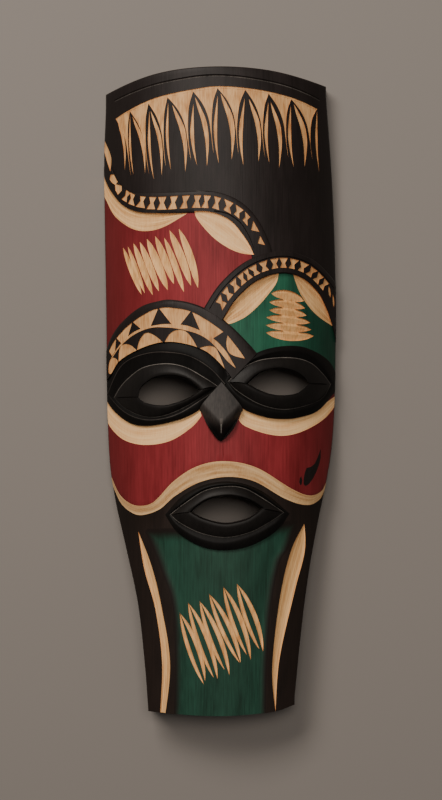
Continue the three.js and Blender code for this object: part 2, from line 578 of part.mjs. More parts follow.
function browCarving() {
  const level = raised(front, browRise);
  const points = (edge, from, to, count) => steps(count).map(along(edge, from, to));
  const clear = 0.3;
  const teeth = browTeeth.map(([low, lowEnd, high, highEnd]) => gouge(
    points((x) => ribTop(x) - clear, low, lowEnd, 2), points(browWood, high, highEnd, 4),
    { depth: chipDepth, count: 3, level },
  ));
  const domes = browDomes.map((over) => gouge(
    points(browFoot, over[0][0], over[over.length - 1][0], 3), over, { depth: chipDepth, count: 6, level },
  ));
  const rib = gouge(points(ribUnder, ribStart, ribEnd, 10), points(ribTop, ribStart, ribEnd, 10),
    { depth: ribDepth, count: 10, level });
  return [...teeth, gouge(...lastTooth, { depth: chipDepth, count: 5, level }), ...domes, rib];
}

// Eyes: their four outlines run from the outer rim to the opening
const leftEye = {
  edge: almond([-76, 1], [5.5, 7],
    [[-69.2, 11.5], [-64.2, 19], [-52.3, 25.9], [-34.3, 30.9], [-14.6, 27.3], [-0.6, 17]],
    [[-68.6, -10.6], [-56.6, -19.2], [-43.8, -20.8], [-25.1, -16.8], [-12.8, -10.4], [-3.7, 0]]),
  crest: almond([-72, -1], [2.6, 5],
    [[-64.5, 14], [-56.6, 20.7], [-43.8, 24.4], [-31.3, 24.5], [-18.9, 22], [-6.7, 14.8]],
    [[-61.6, -11.6], [-50, -16.7], [-38, -16.9], [-25, -13], [-10, -3.6]]),
  valley: almond([-67, -3.4], [-2.2, 3.4],
    [[-63.2, 2.6], [-57.9, 8.2], [-48.2, 14.9], [-34.4, 17.2], [-22, 15], [-9.8, 8.3]],
    [[-59.9, -9.9], [-47, -15.1], [-34.4, -14.1], [-18.9, -7.3]]),
  opening: almond([-51.6, -3.4], [-11.7, 1.3],
    [[-50.2, 1.9], [-47, 5.6], [-40.6, 9.4], [-31, 10.7], [-22, 8.9], [-15.9, 5.3]],
    [[-47, -6.8], [-37, -8.8], [-28.2, -7.3], [-18.9, -3.7]]),
};
const rightEye = {
  edge: almond([-1, 8.2], [76, 5],
    [[7, 13.8], [15.3, 20.1], [26.9, 26], [42.5, 28.6], [55.3, 26.7], [68.6, 19]],
    [[4.9, -1.2], [14, -10.4], [26.9, -15.3], [38, -16.6], [48.9, -15.6], [61.9, -10.7]]),
  crest: almond([2, 7], [72, 5], [[14, 16.8], [27, 23], [42.5, 25.2], [58, 21]],
    [[10, -1.6], [22, -8.6], [36.2, -12], [49, -10.8], [61.9, -6.2]]),
  valley: almond([4.6, 6.3], [69, 5], [[11.6, 13.2], [23.9, 19.3], [42.5, 21], [55.3, 18.2], [64, 11]],
    [[10.4, 0.6], [23.9, -7.3], [39, -10.5], [55.3, -7.4], [64, -3]]),
  opening: almond([15, 5], [54.6, 5.3], [[20.8, 10.4], [26.9, 13.5], [36.2, 15], [45.7, 13], [51.5, 9.4]],
    [[23.9, 0.3], [33, -2.3], [42.5, -2.1], [48.9, 0]]),
};
const mouth = {
  edge: almond([-34.5, -75.8], [42.5, -75.4], [[-23.5, -63.8], [-8, -56.3], [9, -55.2], [26, -61.5]],
    [[-26.4, -86.7], [-12, -94.8], [2.5, -97], [17.8, -94.5], [33.3, -86.3]]),
  crest: almond([-32.6, -75.6], [40.3, -74.8],
    [[-23, -67.2], [-10.3, -59], [3.7, -56.4], [15.3, -57.8], [28, -64.8]],
    [[-25.2, -83], [-12.9, -89.5], [2.5, -92], [20.9, -87.2], [33.3, -80.7]]),
  valley: almond([-31, -75.4], [38.6, -74.4],
    [[-22.1, -68.5], [-9.8, -60.6], [3.7, -58], [14.7, -59.4], [27, -66.4]],
    [[-25.2, -80.2], [-12.9, -86.1], [2.5, -88.9], [17.8, -85.9], [30, -79.8]]),
  opening: almond([-19.4, -73.4], [26.4, -71.2],
    [[-15.9, -70.2], [-9.8, -66.1], [-3.7, -64], [5.5, -63], [14.7, -64.7], [20.9, -67.5]],
    [[-15.9, -75.6], [-9.8, -78.4], [2.4, -81], [14.7, -78.8], [20.9, -75.5]]),
};

// The nose: a flat bridge that widens downwards to two corners, and two steep sides below them
const noseBridge = [[-10.6, -6.7], [0.3, 6], [11, -7.1]];
const noseUnder = [[-12.2, -8.6], [-11.2, -13.6], [-8.6, -19.8], [-5.4, -24.9], [-2.4, -28.7], [0.1, -30.2],
  [3.7, -27.1], [7.3, -22.6], [9.8, -18.2], [11.8, -13.3], [12.6, -9]];
const nosePeak = [0.3, -20];

function nose() {
  const above = (p, rise) => [...p, front(...p) + rise];
  const [cornerLeft, browEnd, cornerRight] = noseBridge;
  const around = [browEnd, cornerLeft, ...noseUnder, cornerRight];
  const rises = [noseEdgeRise, noseCornerRise, ...noseUnder.map(() => noseEdgeRise), noseCornerRise];
  const count = around.length;
  const points = [...around.map((p) => above(p, -embed)), ...around.map((p, i) => above(p, rises[i]))];
  points.push(above(nosePeak, -embed), above(nosePeak, noseRise));
  const [under, peak] = [2 * count, 2 * count + 1];
  const faces = [];
  for (let i = 0; i < count; i += 1) {
    const next = (i + 1) % count;
    faces.push([i, next, next + count], [i, next + count, i + count], [under, next, i],
      [peak, i + count, next + count]);
  }
  return solid(meshOf(points, faces));
}

// Openings go right through, a little wider behind
function through(opening) {
  const [flare, under, throat, above] = [1.12, -5, 34, 75];
  const middle = [0, 1].map((k) => opening.reduce((sum, p) => sum + p[k], 0) / opening.length);
  const ring = (wide, height) => opening.map((p) => [...mix(middle, p, wide), height]);
  return stacked([ring(flare, under), ring(1, throat), ring(1, above)]);
}

const sawnOutline = prism(outline, 0, 90);
const blank = log.intersect(sawnOutline);
const fields = carve(blank, [chinRecess(), greenRecess(), ...scoops, ...chinLeaves, ...fringe, ...comb,
  ...stack, ...strokes, topLine]);
const forms = union([fields, wavyBand, rightArch]);
const chipped = carve(forms, [...wavyChips, ...loneChips, ...archChips]);
const browed = carve(chipped.add(leftBrow), browCarving());
const face = union([browed, lids(leftEye, front), lids(rightEye, front), lids(mouth, chinLevel), nose()]);
const trimmed = face.intersect(sawnOutline);
const holes = [leftEye, rightEye, mouth].map(({ opening }) => through(opening));
const pierced = carve(trimmed, [hollow(), ...holes]);
// Crumbs that crossing cuts leave loose fall away
const carved = pierced.decompose().reduce((most, part) => (part.volume() > most.volume() ? part : most));

function toGeometry(body) {
  const mesh = body.getMesh();
  const geometry = new THREE.BufferGeometry();
  geometry.setAttribute('position', new THREE.BufferAttribute(mesh.vertProperties, 3));
  geometry.setIndex(new THREE.BufferAttribute(mesh.triVerts, 1));
  return geometry.translate(noseToMiddle, 0, 0);
}

const paintedWood = new THREE.MeshStandardMaterial({ color: 0x2a2625, roughness: 0.55, metalness: 0 });
const mask = new THREE.Mesh(toGeometry(carved), paintedWood);
mask.name = 'mask';

const object = new THREE.Group();
object.add(mask);
export default object;
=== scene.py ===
# %% [markdown]
# # A carved and painted wooden mask
# The real mask starts as half a log of soft, pale wood. The carver saws its outline, scoops out the
# back, paints the front, and then cuts through the paint, so that every pattern is bare wood.
# This notebook works in the same order. Each cut is a solid of its own that carries the finish it
# leaves behind, and a Boolean modifier takes it out of the log.

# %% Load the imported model, which fixes the size and the place
import math
from collections import Counter

import bpy
import numpy as np
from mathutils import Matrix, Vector, noise


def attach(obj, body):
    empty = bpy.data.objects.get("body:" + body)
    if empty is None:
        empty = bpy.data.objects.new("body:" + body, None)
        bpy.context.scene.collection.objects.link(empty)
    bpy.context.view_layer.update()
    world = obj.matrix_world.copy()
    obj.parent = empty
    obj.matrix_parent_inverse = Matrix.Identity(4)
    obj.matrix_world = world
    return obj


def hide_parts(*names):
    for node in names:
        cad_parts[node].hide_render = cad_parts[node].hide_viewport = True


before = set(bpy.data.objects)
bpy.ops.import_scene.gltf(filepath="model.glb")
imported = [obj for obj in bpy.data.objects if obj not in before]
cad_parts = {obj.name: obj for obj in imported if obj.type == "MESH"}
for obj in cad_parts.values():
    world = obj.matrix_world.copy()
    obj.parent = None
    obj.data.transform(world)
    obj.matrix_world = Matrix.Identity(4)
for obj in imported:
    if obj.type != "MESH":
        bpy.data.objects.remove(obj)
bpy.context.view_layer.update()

bpy.ops.object.select_all(action="DESELECT")

# %% [markdown]
# ## Finishes
# Four finishes show: a black wood stain, a red one, a green one, and bare wood where the blade went
# through them. Stain soaks in, so the upright grain of the wood shows through the colour. A picture of
# wood could be laid on, but it would repeat and stretch on the cuts. Here the grain is a noise texture
# drawn out along the log, which fits every cut because it reads the place in the wood.

# %% Colours, and one function that adds a node
MM = 0.001


def linear(hex_colour):
    """The linear values a shader needs, from an sRGB hex colour as a picture editor shows it"""
    channels = [int(hex_colour[i:i + 2], 16) / 255 for i in (1, 3, 5)]
    return [c / 12.92 if c <= 0.04045 else ((c + 0.055) / 1.055) ** 2.4 for c in channels] + [1.0]


def add(tree, kind, values=None, links=None, **settings):
    """A shader node with its settings, its fixed input values and the sockets linked into it"""
    node = tree.nodes.new("ShaderNode" + kind)
    for name, value in settings.items():
        setattr(node, name, value)
    for name, value in (values or {}).items():
        node.inputs[name].default_value = value
    for name, socket in (links or {}).items():
        tree.links.new(socket, node.inputs[name])
    return node


def fresh(name, roughness, shine):
    """A material with an empty tree, its Principled shader and the place on the log in millimetres"""
    material = bpy.data.materials.new(name)
    material.use_nodes = True
    tree = material.node_tree
    tree.nodes.clear()
    shader = add(tree, "BsdfPrincipled", {"Roughness": roughness, "Specular IOR Level": shine})
    add(tree, "OutputMaterial", links={"Surface": shader.outputs["BSDF"]})
    place = add(tree, "TexCoord").outputs["Object"]
    scaled = add(tree, "VectorMath", {1: (1 / MM,) * 3}, {0: place}, operation="MULTIPLY")
    return material, tree, shader, scaled.outputs["Vector"]


def grain(tree, place, scale, detail=3.0):
    """Noise drawn out along the log: scale is the size of one streak in each direction"""
    stretched = add(tree, "Mapping", {"Scale": [1 / size for size in scale]}, {"Vector": place})
    return add(tree, "TexNoise", {"Scale": 1.0, "Detail": detail, "Roughness": 0.6},
               {"Vector": stretched.outputs["Vector"]}).outputs["Fac"]


def relief(tree, shader, height, depth):
    """Fine relief: depth is the real depth of the marks in millimetres"""
    bump = add(tree, "Bump", {"Distance": depth * MM}, {"Height": height})
    tree.links.new(bump.outputs["Normal"], shader.inputs["Normal"])


# %% [markdown]
# Stained wood: the pores of the grain are under a millimetre across and a few centimetres long. The
# stain is darker in them, and lies a little unevenly over wider patches. Towards the two sides of the
# mask, where the log turns away from the light, the colour is darkened: painted shade. A second
# material there would leave a border that the shade does not have, so the colour itself depends on
# the distance from the middle.

# %% Stained wood in its colours
PORE = (0.9, 26.0, 0.9)       # real pores are about 0.2 mm wide; drawn wider so that they show
PATCH = (11.0, 38.0, 11.0)
PORE_DEPTH = 0.07
PATCH_SHARE, STAIN_DARK, STAIN_LIGHT = 0.55, 0.3, 0.68
# where the painted shade towards the sides starts and ends, in mm from the middle, and how strong it gets
SIDE_START, SIDE_END, SIDE_SHADE_SHARE = 30.0, 74.0, 0.75


# side is the colour of the painted shade towards the two sides, where the log turns from the light
def stained_wood(name, dark, light, side, roughness=0.5, shine=0.22):
    material, tree, shader, place = fresh(name, roughness, shine)
    pores = grain(tree, place, PORE)
    tone = add(tree, "Mix", {0: PATCH_SHARE}, {2: pores, 3: grain(tree, place, PATCH)}).outputs[0]
    even = add(tree, "MapRange", {"From Min": STAIN_DARK, "From Max": STAIN_LIGHT},
               {"Value": tone}).outputs[0]
    wood = add(tree, "Mix", {6: linear(dark), 7: linear(light)}, {0: even}, data_type="RGBA").outputs[2]
    x = add(tree, "SeparateXYZ", links={0: place}).outputs["X"]
    away = add(tree, "Math", links={0: x}, operation="ABSOLUTE").outputs[0]
    # painted shade: the colour darkens towards both sides of the mask
    painted_side_shade = add(tree, "MapRange", {"From Min": SIDE_START, "From Max": SIDE_END, "To Max": SIDE_SHADE_SHARE},
                 {"Value": away}, interpolation_type="SMOOTHSTEP").outputs[0]
    colour = add(tree, "Mix", {7: linear(side)}, {0: painted_side_shade, 6: wood}, data_type="RGBA").outputs[2]
    tree.links.new(colour, shader.inputs["Base Color"])
    relief(tree, shader, pores, PORE_DEPTH)
    return material, tree, shader, colour


# the last colour of each stain is its painted shade towards the sides
# a black spirit stain on planed wood: satin, with a trace of brown where the light grazes it
black_stain = stained_wood("black_stained_wood", "#15100e", "#2a2322", "#17110f")[0]
# the same stain laid thinner beside the chin: the wood warms it towards brown
side_stain = stained_wood("brown_black_stained_wood", "#1a1411", "#2a201b", "#17110e")[0]
# the lids are stained twice and rubbed with a cloth: deep black, with a soft sheen on the swell
lid_stain = stained_wood("black_rubbed_lids", "#0d0b0a", "#1e1b19", "#0d0b0a", 0.48, 0.2)[0]
# the rims round them are stained twice and left matt: the deepest black, which sets off the lids
rim_stain = stained_wood("black_stained_rims", "#090807", "#151312", "#080706", 0.55, 0.12)[0]
# an edge rubbed through by handling: the grey of thin stain on pale wood, seen as a fine light line
# a fine light grey line: a painted highlight on sharp edges that catch the light, and on the scratch the grey
# of thin stain rubbed through to pale wood
worn_and_highlight_stain = stained_wood("worn_black_edge_and_painted_highlight", "#1f1c1b", "#837d77", "#3a3531")[0]
# a dimmer painted highlight on a sharp edge: a darker grey line
faint_highlight_stain = stained_wood("faint_painted_highlight_black_edge", "#1d1917", "#544d48", "#2a2521")[0]
# a red and a green water stain: matt, and the grain shows through as darker streaks
red_stain = stained_wood("red_stained_wood", "#66161a", "#953035", "#571a1b", 0.55)[0]
green_stain = stained_wood("green_stained_wood", "#163f2f", "#2d6b52", "#0e281e", 0.55)[0]

# %% [markdown]
# The nose's flat bridge faces up, towards the light, and is painted grey: painted light. Towards the tip,
# which faces down, it gets black again: painted shade. Two materials side by side would leave a hard
# border, so one material mixes the grey and the black by the place.

# %% The bridge's painted light and shade
# the grey of painted light on the bridge fades to the black of painted shade between these heights
GREY_END, BLACK_START = -15 * MM, -23 * MM
TIP_SHADE = "#0d0b0a"
bridge_painted_light, tree, shader, colour = stained_wood("black_bridge_painted_light_and_shade", "#151211", "#413c39", "#161311")
y = add(tree, "SeparateXYZ", links={0: add(tree, "TexCoord").outputs["Object"]}).outputs["Y"]
painted_shade_to_tip = add(tree, "MapRange", {"From Min": GREY_END, "From Max": BLACK_START}, {"Value": y},
              interpolation_type="SMOOTHSTEP").outputs[0]
lit_and_shaded_bridge = add(tree, "Mix", {7: linear(TIP_SHADE)}, {0: painted_shade_to_tip, 6: colour}, data_type="RGBA").outputs[2]
tree.links.new(lit_and_shaded_bridge, shader.inputs["Base Color"])

# %% [markdown]
# The green of the chin is darker, and runs out softly into the brownish black on both sides and under
# the mouth. Its border is not straight, so a fade by the place would not follow it. The block that cuts
# the green has its share of the width and of the height in the UV map, and the fade is read from there.

# %% The chin's green
FADE = 0.08
SIDE_FULL, TOP_FULL = 0.49, 0.985     # where the black is full: beside the middle line, and up the chin
SIDE_BLACK = "#1c1512"
chin_stain, tree, shader, colour = stained_wood("dark_green_stained_wood", "#142a20", "#284d3e", "#12241b")
uv = add(tree, "SeparateXYZ", links={0: add(tree, "TexCoord").outputs["UV"]}).outputs
centred = add(tree, "Math", {1: 0.5}, {0: uv["X"]}, operation="SUBTRACT").outputs[0]
outward = add(tree, "Math", links={0: centred}, operation="ABSOLUTE").outputs[0]
beside_it = add(tree, "MapRange", {"From Min": 0.5 - FADE, "From Max": SIDE_FULL}, {"Value": outward},
                interpolation_type="SMOOTHSTEP").outputs[0]
above_it = add(tree, "MapRange", {"From Min": 1 - FADE, "From Max": TOP_FULL}, {"Value": uv["Y"]},
               interpolation_type="SMOOTHSTEP").outputs[0]
faded = add(tree, "Math", links={0: beside_it, 1: above_it}, operation="MAXIMUM").outputs[0]
edged = add(tree, "Mix", {7: linear(SIDE_BLACK)}, {0: faded, 6: colour}, data_type="RGBA").outputs[2]
tree.links.new(edged, shader.inputs["Base Color"])

# %% [markdown]
# Bare wood: a pale, fine-grained wood such as jacaranda, cut with a sharp gouge and left unsealed, so
# it is matt. A scoop that dips through the growth rings shows them as streaks along its length. A ring
# texture round the log's core would give them too, but not where the photograph has them, so the
# streaks follow the UV map of the cut. Small cuts only show the fine upright fibres.

# %% Bare wood
FIBRE = (0.7, 9.0, 0.7)       # real fibres are finer; drawn wider so that they show
CLOUD = (5.0, 12.0, 5.0)
FIBRE_DEPTH = 0.06
CLOUD_SHARE, STREAK_SHARE = 0.45, 0.75
WOOD_DARK, WOOD_LIGHT = 0.3, 0.6
BARE_ROUGHNESS, BARE_SHINE = 0.65, 0.3


def bare_wood(name, dark, light, streak=None):
    """streak is the size of one growth-ring streak across and along the cut, as shares of its UV map"""
    material, tree, shader, place = fresh(name, BARE_ROUGHNESS, BARE_SHINE)
    fibres = grain(tree, place, FIBRE)
    if streak:
        place = add(tree, "TexCoord").outputs["UV"]
    wide = grain(tree, place, streak or CLOUD, 2.0)
    share = STREAK_SHARE if streak else CLOUD_SHARE
    tone = add(tree, "Mix", {0: share}, {2: fibres, 3: wide}).outputs[0]
    even = add(tree, "MapRange", {"From Min": WOOD_DARK, "From Max": WOOD_LIGHT}, {"Value": tone}).outputs[0]
    wood = add(tree, "Mix", {6: linear(dark), 7: linear(light)}, {0: even}, data_type="RGBA").outputs[2]
    tree.links.new(wood, shader.inputs["Base Color"])
    relief(tree, shader, fibres, FIBRE_DEPTH)
    return material


# small cuts show mostly end grain, which drinks the light: the warmest and darkest of the bare wood
cut_wood = bare_wood("bare_cut_wood", "#a96d3a", "#e3b27a")
# the leaves are cut along the grain, and are a little lighter
leaf_wood = bare_wood("bare_wood_of_the_leaves", "#bf7f42", "#f5c182")
# long scoops: pale wood with light and dark growth rings along the cut
scooped_wood = bare_wood("bare_scooped_wood", "#b97a40", "#f8c98c", (0.16, 0.6, 1))
# a lighter copy of the scooped wood: painted light on scoops that the rims and bands above would shade,
# and a painted highlight along the upper edge of the chin's step
painted_light_wood = bare_wood("bare_wood_with_painted_light", "#e0a266", "#ffd49a", (0.2, 0.7, 1))
# the step crosses the rings at a slant: narrow bands, one above the other
step_wood = bare_wood("bare_wood_of_the_step", "#bb8149", "#f6cb94", (30.0, 0.3, 1))
# the back is hollowed with a coarse gouge and has darkened with age: a dull brown
back_wood = bare_wood("raw_hollowed_wood", "#8a6440", "#c19a6d")
print("finishes:", [m.name for m in bpy.data.materials])

# %% [markdown]
# ## The shape of the log
# Everything on the mask is measured on the surface of the half log: x across from the line of the
# nose, y up the face, and a height above or below the log. A Shrinkwrap modifier could press flat
# patterns onto it, but two small functions give that surface exactly, and every cut starts from them.

# %% Sizes in millimetres, the same as in the solid model
LOG_RADIUS, CREST_HEIGHT, CREST_Y = 88.0, 46.0, 10.0
BOW, HALF_LENGTH = 5.0, 200.0
NOSE_TO_MIDDLE = 0.8
CHIN_DROP, GREEN_DROP = 3.5, 1.0
BAND_RISE, ARCH_RISE, BROW_RISE = 1.0, 2.0, 2.6
RIM_EDGE, RIM_CREST, VALLEY, LID_RISE = 0.6, 2.4, 1.0, 4.4
STAIN_DEPTH = 0.25
EMBED = 3.0
HAND_WOBBLE = 0.25


def front(x, y):
    """Height of the log's surface"""
    ridge = CREST_HEIGHT - BOW * ((y - CREST_Y) / HALF_LENGTH) ** 2
    return ridge - LOG_RADIUS + math.sqrt(LOG_RADIUS ** 2 - x * x)


def raised(level, rise):
    return lambda x, y: level(x, y) + rise


chin_level = raised(front, -CHIN_DROP)
green_level = raised(chin_level, -GREEN_DROP)


def between(a, b, t):
    return a + (b - a) * t


def mix(p, q, t):
    return (between(p[0], q[0], t), between(p[1], q[1], t))


def steps(count):
    return [i / count for i in range(count + 1)]


def ease(t):
    return t * t * (3 - 2 * t)


# %% [markdown]
# The carver draws with a few sweeps of the hand, so a line is given by a few points and a smooth curve
# is led through them. A curve object could hold it, but a plain function can be asked for any point.
# line() answers with the point at any share of its length, and profile() with a smooth value between
# stations.

# %% Smooth lines
def line(points):
    """A smooth line through a few points, as share of its length -> (x, y)"""
    p = np.array([points[0], *points, points[-1]], float)
    t = np.linspace(0, 1, 24, endpoint=False)[:, None]
    spans = []
    for a, b, c, d in zip(p, p[1:], p[2:], p[3:]):
        slope_in, slope_out = (c - a) / 2, (d - b) / 2
        spans.append(b + slope_in * t + (3 * (c - b) - 2 * slope_in - slope_out) * t ** 2
                     + (2 * (b - c) + slope_in + slope_out) * t ** 3)
    curve = np.vstack([*spans, p[-1:]])
    length = np.concatenate([[0], np.cumsum(np.hypot(*np.diff(curve, axis=0).T))])
    share = length / length[-1]
    return lambda s: (float(np.interp(s, share, curve[:, 0])), float(np.interp(s, share, curve[:, 1])))


def profile(stations):
    """A smooth value between stations given as (at, value)"""
    ordered = sorted(stations)
    last = len(ordered) - 1
    slopes = []
    for i in range(last + 1):
        before, after = ordered[max(i - 1, 0)], ordered[min(i + 1, last)]
        slopes.append((after[1] - before[1]) / (after[0] - before[0]))

    def value(at):
        i = min(last - 1, max(0, sum(s <= at for s, _ in ordered) - 1))
        (s0, v0), (s1, v1) = ordered[i], ordered[i + 1]
        span = s1 - s0
        t = min(1.0, max(0.0, (at - s0) / span))
        return (v0 * (2 * t ** 3 - 3 * t ** 2 + 1) + slopes[i] * span * (t ** 3 - 2 * t ** 2 + t)
                + v1 * (3 * t ** 2 - 2 * t ** 3) + slopes[i + 1] * span * (t ** 3 - t ** 2))
    return value


# %% [markdown]
# ## From a primitive to a carver's shape
# Every cut and band follows the round of the log, so a plain cube will not do, and bending it needs a
# window. Instead a grid primitive, extruded once, is a block with an upper and a lower sheet. Laid over
# two surfaces it becomes the log, a raised band or the wedge of wood that a gouge lifts out. The place
# in the grid goes into the UV map, so that a finish knows where it is on the cut.

# %% Lay a block between two sheets
TOUCHING = 0.002 * MM


def finish_faces(piece, finishes, pick):
    """Gives the piece its finishes, and each face the one that pick(u, v) names"""
    for finish in finishes:
        piece.data.materials.append(finish)
    if len(finishes) == 1:
        return
    uv = piece.data.uv_layers[0].data
    for face in piece.data.polygons:
        corners = [uv[i].uv for i in face.loop_indices]
        u, v = (sum(c[k] for c in corners) / len(corners) for k in (0, 1))
        face.material_index = finishes.index(pick(u, v))


def only(piece):
    """Selects one piece and nothing else, since an operator acts on all that is selected"""
    bpy.ops.object.select_all(action="DESELECT")
    bpy.context.view_layer.objects.active = piece
    piece.select_set(True)


def tidy_mesh(piece):
    """Merges the corners that fell together and turns every face outwards"""
    only(piece)
    bpy.ops.object.mode_set(mode="EDIT")
    bpy.ops.mesh.select_all(action="SELECT")
    bpy.ops.mesh.remove_doubles(threshold=TOUCHING)
    bpy.ops.mesh.normals_make_consistent(inside=False)
    bpy.ops.object.mode_set(mode="OBJECT")


def lay(name, columns, rows, upper, lower, finishes, pick=None):
    """A block over columns (u, across) and rows (v, along), between upper(u, v) and lower(u, v)"""
    bpy.ops.mesh.primitive_grid_add(x_subdivisions=len(columns) - 1, y_subdivisions=len(rows) - 1, size=2)
    piece = bpy.context.object
    piece.name = name
    bpy.ops.object.mode_set(mode="EDIT")
    bpy.ops.mesh.select_all(action="SELECT")
    bpy.ops.mesh.extrude_region_move(TRANSFORM_OT_translate={"value": (0, 0, -1)})
    bpy.ops.object.mode_set(mode="OBJECT")
    mesh = piece.data
    uv = mesh.uv_layers[0].data
    shares = {}
    for vertex in mesh.vertices:
        x, y, z = vertex.co
        u = columns[round((x + 1) / 2 * (len(columns) - 1))]
        v = rows[round((y + 1) / 2 * (len(rows) - 1))]
        shares[vertex.index] = (u, v)
        vertex.co = Vector((upper if z > -0.5 else lower)(u, v)) * MM
    for loop in mesh.loops:
        uv[loop.index].uv = shares[loop.vertex_index]
    finish_faces(piece, finishes, pick)
    tidy_mesh(piece)
    return piece


# %% [markdown]
# A gouge leaves a trough with sharp edges. Swept along one path it would have one width, so here a cut
# runs between two lines on the surface, and its section says how deep it is from the first line to the
# second. The block goes straight up from the two lines, so that the edge of the cut falls exactly on
# them, and it gets shallower where the lines come together.

# %% The gouge
CLEAR = 1.2                   # how far a cutter stands out over the surface
TIP_SHARE, TAPER = 0.3, 0.6   # the share of the depth at a tip, and how fast the depth grows from there
ROUND = [(0, 0.35), (0.1, 0.6), (0.28, 0.9), (0.5, 1), (0.72, 0.9), (0.9, 0.6), (1, 0.35)]
CREASED = [(0, 0.4), (0.25, 0.65), (0.5, 1), (0.75, 0.65), (1, 0.4)]
FLAT = [(0, 1), (0.5, 1), (1, 1)]
STEEP = [(0, 0.55), (0.1, 0.85), (0.2, 1), (0.5, 0.75), (0.8, 0.4), (1, 0.25)]
CREST = [(0, 0.25), (0.4, 0.5), (0.7, 1), (0.78, 0.9), (1, 0.25)]
ROOF = [(0, 1), (0.35, 0.45), (1, 1)]


def gouge(name, first, second, depth, section=ROUND, count=16, level=front, finish=None):
    """A cut between two lines that run the same way; section is (share of the width, share of the depth)"""
    a, b = line(first), line(second)
    rows = steps(count)
    widths = [math.dist(a(t), b(t)) for t in rows]
    share = {t: (w / max(widths)) ** TAPER for t, w in zip(rows, widths)}
    floor = dict(section)

    def lower(u, v):
        x, y = mix(a(v), b(v), u)
        return x, y, level(x, y) - depth * between(TIP_SHARE, floor[u], share[v])

    def upper(u, v):
        x, y = mix(a(v), b(v), u)
        return x, y, level(x, y) + CLEAR
    return lay(name, list(floor), rows, upper, lower, [finish or cut_wood])


def bowed(start, end, bows):
    """Points from start to end, pushed sideways by the bows, given as (share of the way, push)"""
    long = math.dist(start, end)
    across = ((end[1] - start[1]) / long, -(end[0] - start[0]) / long)
    return [tuple(p + a * push for p, a in zip(mix(start, end, t), across)) for t, push in bows]


def leaf(name, start, end, width, bow=0.0, full=0.8, **rest):
    """A leaf-shaped cut from tip to tip, bowed sideways at its middle"""
    sides = []
    for way in (-1, 1):
        bulge = [(t, 4 * t * (1 - t)) for t in steps(8)]
        sides.append(bowed(start, end, [(t, bow * b + way * width / 2 * b ** full) for t, b in bulge]))
    return gouge(name, *sides, **rest)


# %% [markdown]
# A chip is taken out with three pushes of the blade and levelled. A gouge block would leave it round
# at the corners, so its solid starts as a cone with a cut-off top and one side for each push of the
# blade, and its corners are moved to the corners of the chip.

# %% The chip
CHIP_SLANT = 0.06


def centre(points):
    return [sum(p[k] for p in points) / len(points) for k in (0, 1)]


def chip(name, corners, depth, level):
    bpy.ops.mesh.primitive_cone_add(vertices=len(corners), radius1=1, radius2=0.5, depth=2)
    piece = bpy.context.object
    piece.name = name
    middle = centre(corners)
    for side, share, height in ((1, 1 - CHIP_SLANT, -depth), (-1, 1 + CHIP_SLANT * CLEAR / depth, CLEAR)):
        ring = [v for v in piece.data.vertices if v.co.z * side > 0]
        for vertex, corner in zip(ring, corners):
            x, y = mix(middle, corner, share)
            vertex.co = Vector((x, y, level(x, y) + height)) * MM
    piece.data.materials.append(cut_wood)
    tidy_mesh(piece)
    return piece


# %% [markdown]
# The Boolean modifier joins or cuts, and a cut face takes over the finish of its cutter. One modifier
# for each cutter would take minutes, so all the tools of one kind go into a collection and one modifier
# takes them together, also where they overlap.

# %% Join and carve
def combine(body, tools, operation):
    group = bpy.data.collections.new("tools")
    bpy.context.scene.collection.children.link(group)
    for tool in tools:
        group.objects.link(tool)
    only(body)
    modifier = body.modifiers.new("carve", "BOOLEAN")
    modifier.operand_type = "COLLECTION"
    modifier.collection = group
    modifier.operation = operation
    modifier.solver = "MANIFOLD"
    modifier.material_mode = "TRANSFER"
    bpy.ops.object.modifier_apply(modifier=modifier.name)
    for tool in tools:
        bpy.data.objects.remove(tool)
    bpy.data.collections.remove(group)
    print(operation.lower(), len(tools), "tools ->", len(body.data.polygons), "faces")


# %% [markdown]
# ## The half log
# The log is sawn to the mask's outline. Cutting a square block to it would leave ragged narrow faces
# at the edge. Here the grid is laid straight between the left and the right edge, so its rows follow
# the outline and the front edge can be rounded with an even bevel.

# %% The blank
LEFT_SIDE = [
    (-199, -45.5), (-172, -47.5), (-132, -52), (-97, -59.6), (-66, -66.8), (-40, -70.6), (0, -72.2),
    (60, -73), (155, -74.6), (190, -73.5)]
RIGHT_SIDE = [
    (-195, 46), (-150, 50.5), (-112, 55.6), (-86, 60.4), (-60, 65.9), (-34, 70.3), (0, 72.3), (70, 72.8),
    (135, 70.6), (193, 66.5)]
TOP_END = [(-73.5, 189.8), (-41, 197.4), (-8, 200), (29, 198.8), (66.5, 193.2)]
BOTTOM_END = [(-45.5, -199), (0, -200), (34, -198.1), (46, -195)]
INSET = 0.12                  # leaves room for the ends of the bands
WAVE_ACROSS, WAVE_ALONG, WAVE_LAYER = 22, 45, 0.3
left_edge, right_edge = profile(LEFT_SIDE), profile(RIGHT_SIDE)
top_edge, bottom_edge = profile(TOP_END), profile(BOTTOM_END)


def hand_carved(x, y):
    """A slight waviness that no hand tool avoids, never above the log's surface"""
    wave = noise.noise(Vector((x / WAVE_ACROSS, y / WAVE_ALONG, WAVE_LAYER)))
    return front(x, y) - HAND_WOBBLE * (0.5 + 0.5 * wave)


def on_blank(u, v):
    """A place in the outline, for u from left to right and v from the chin to the top"""
    row = between(-HALF_LENGTH, HALF_LENGTH, v)
    x = between(left_edge(row) + INSET, right_edge(row) - INSET, u)
    y = between(bottom_edge(x) + INSET, top_edge(x) - INSET, v)
    return x, y


def blank_front(u, v):
    x, y = on_blank(u, v)
    return x, y, hand_carved(x, y)


def blank_foot(u, v):
    return *on_blank(u, v), 0.0


body = lay("mask_carved", steps(90), steps(130), blank_front, blank_foot, [black_stain])
print("blank:", [round(d, 4) for d in body.dimensions])

# %% [markdown]
# A sawn edge is broken with a few strokes of the knife, and hands round it further. The bevel takes
# only the outer edges of the upper sheet, which the UV map finds: there u or v is 0 or 1.

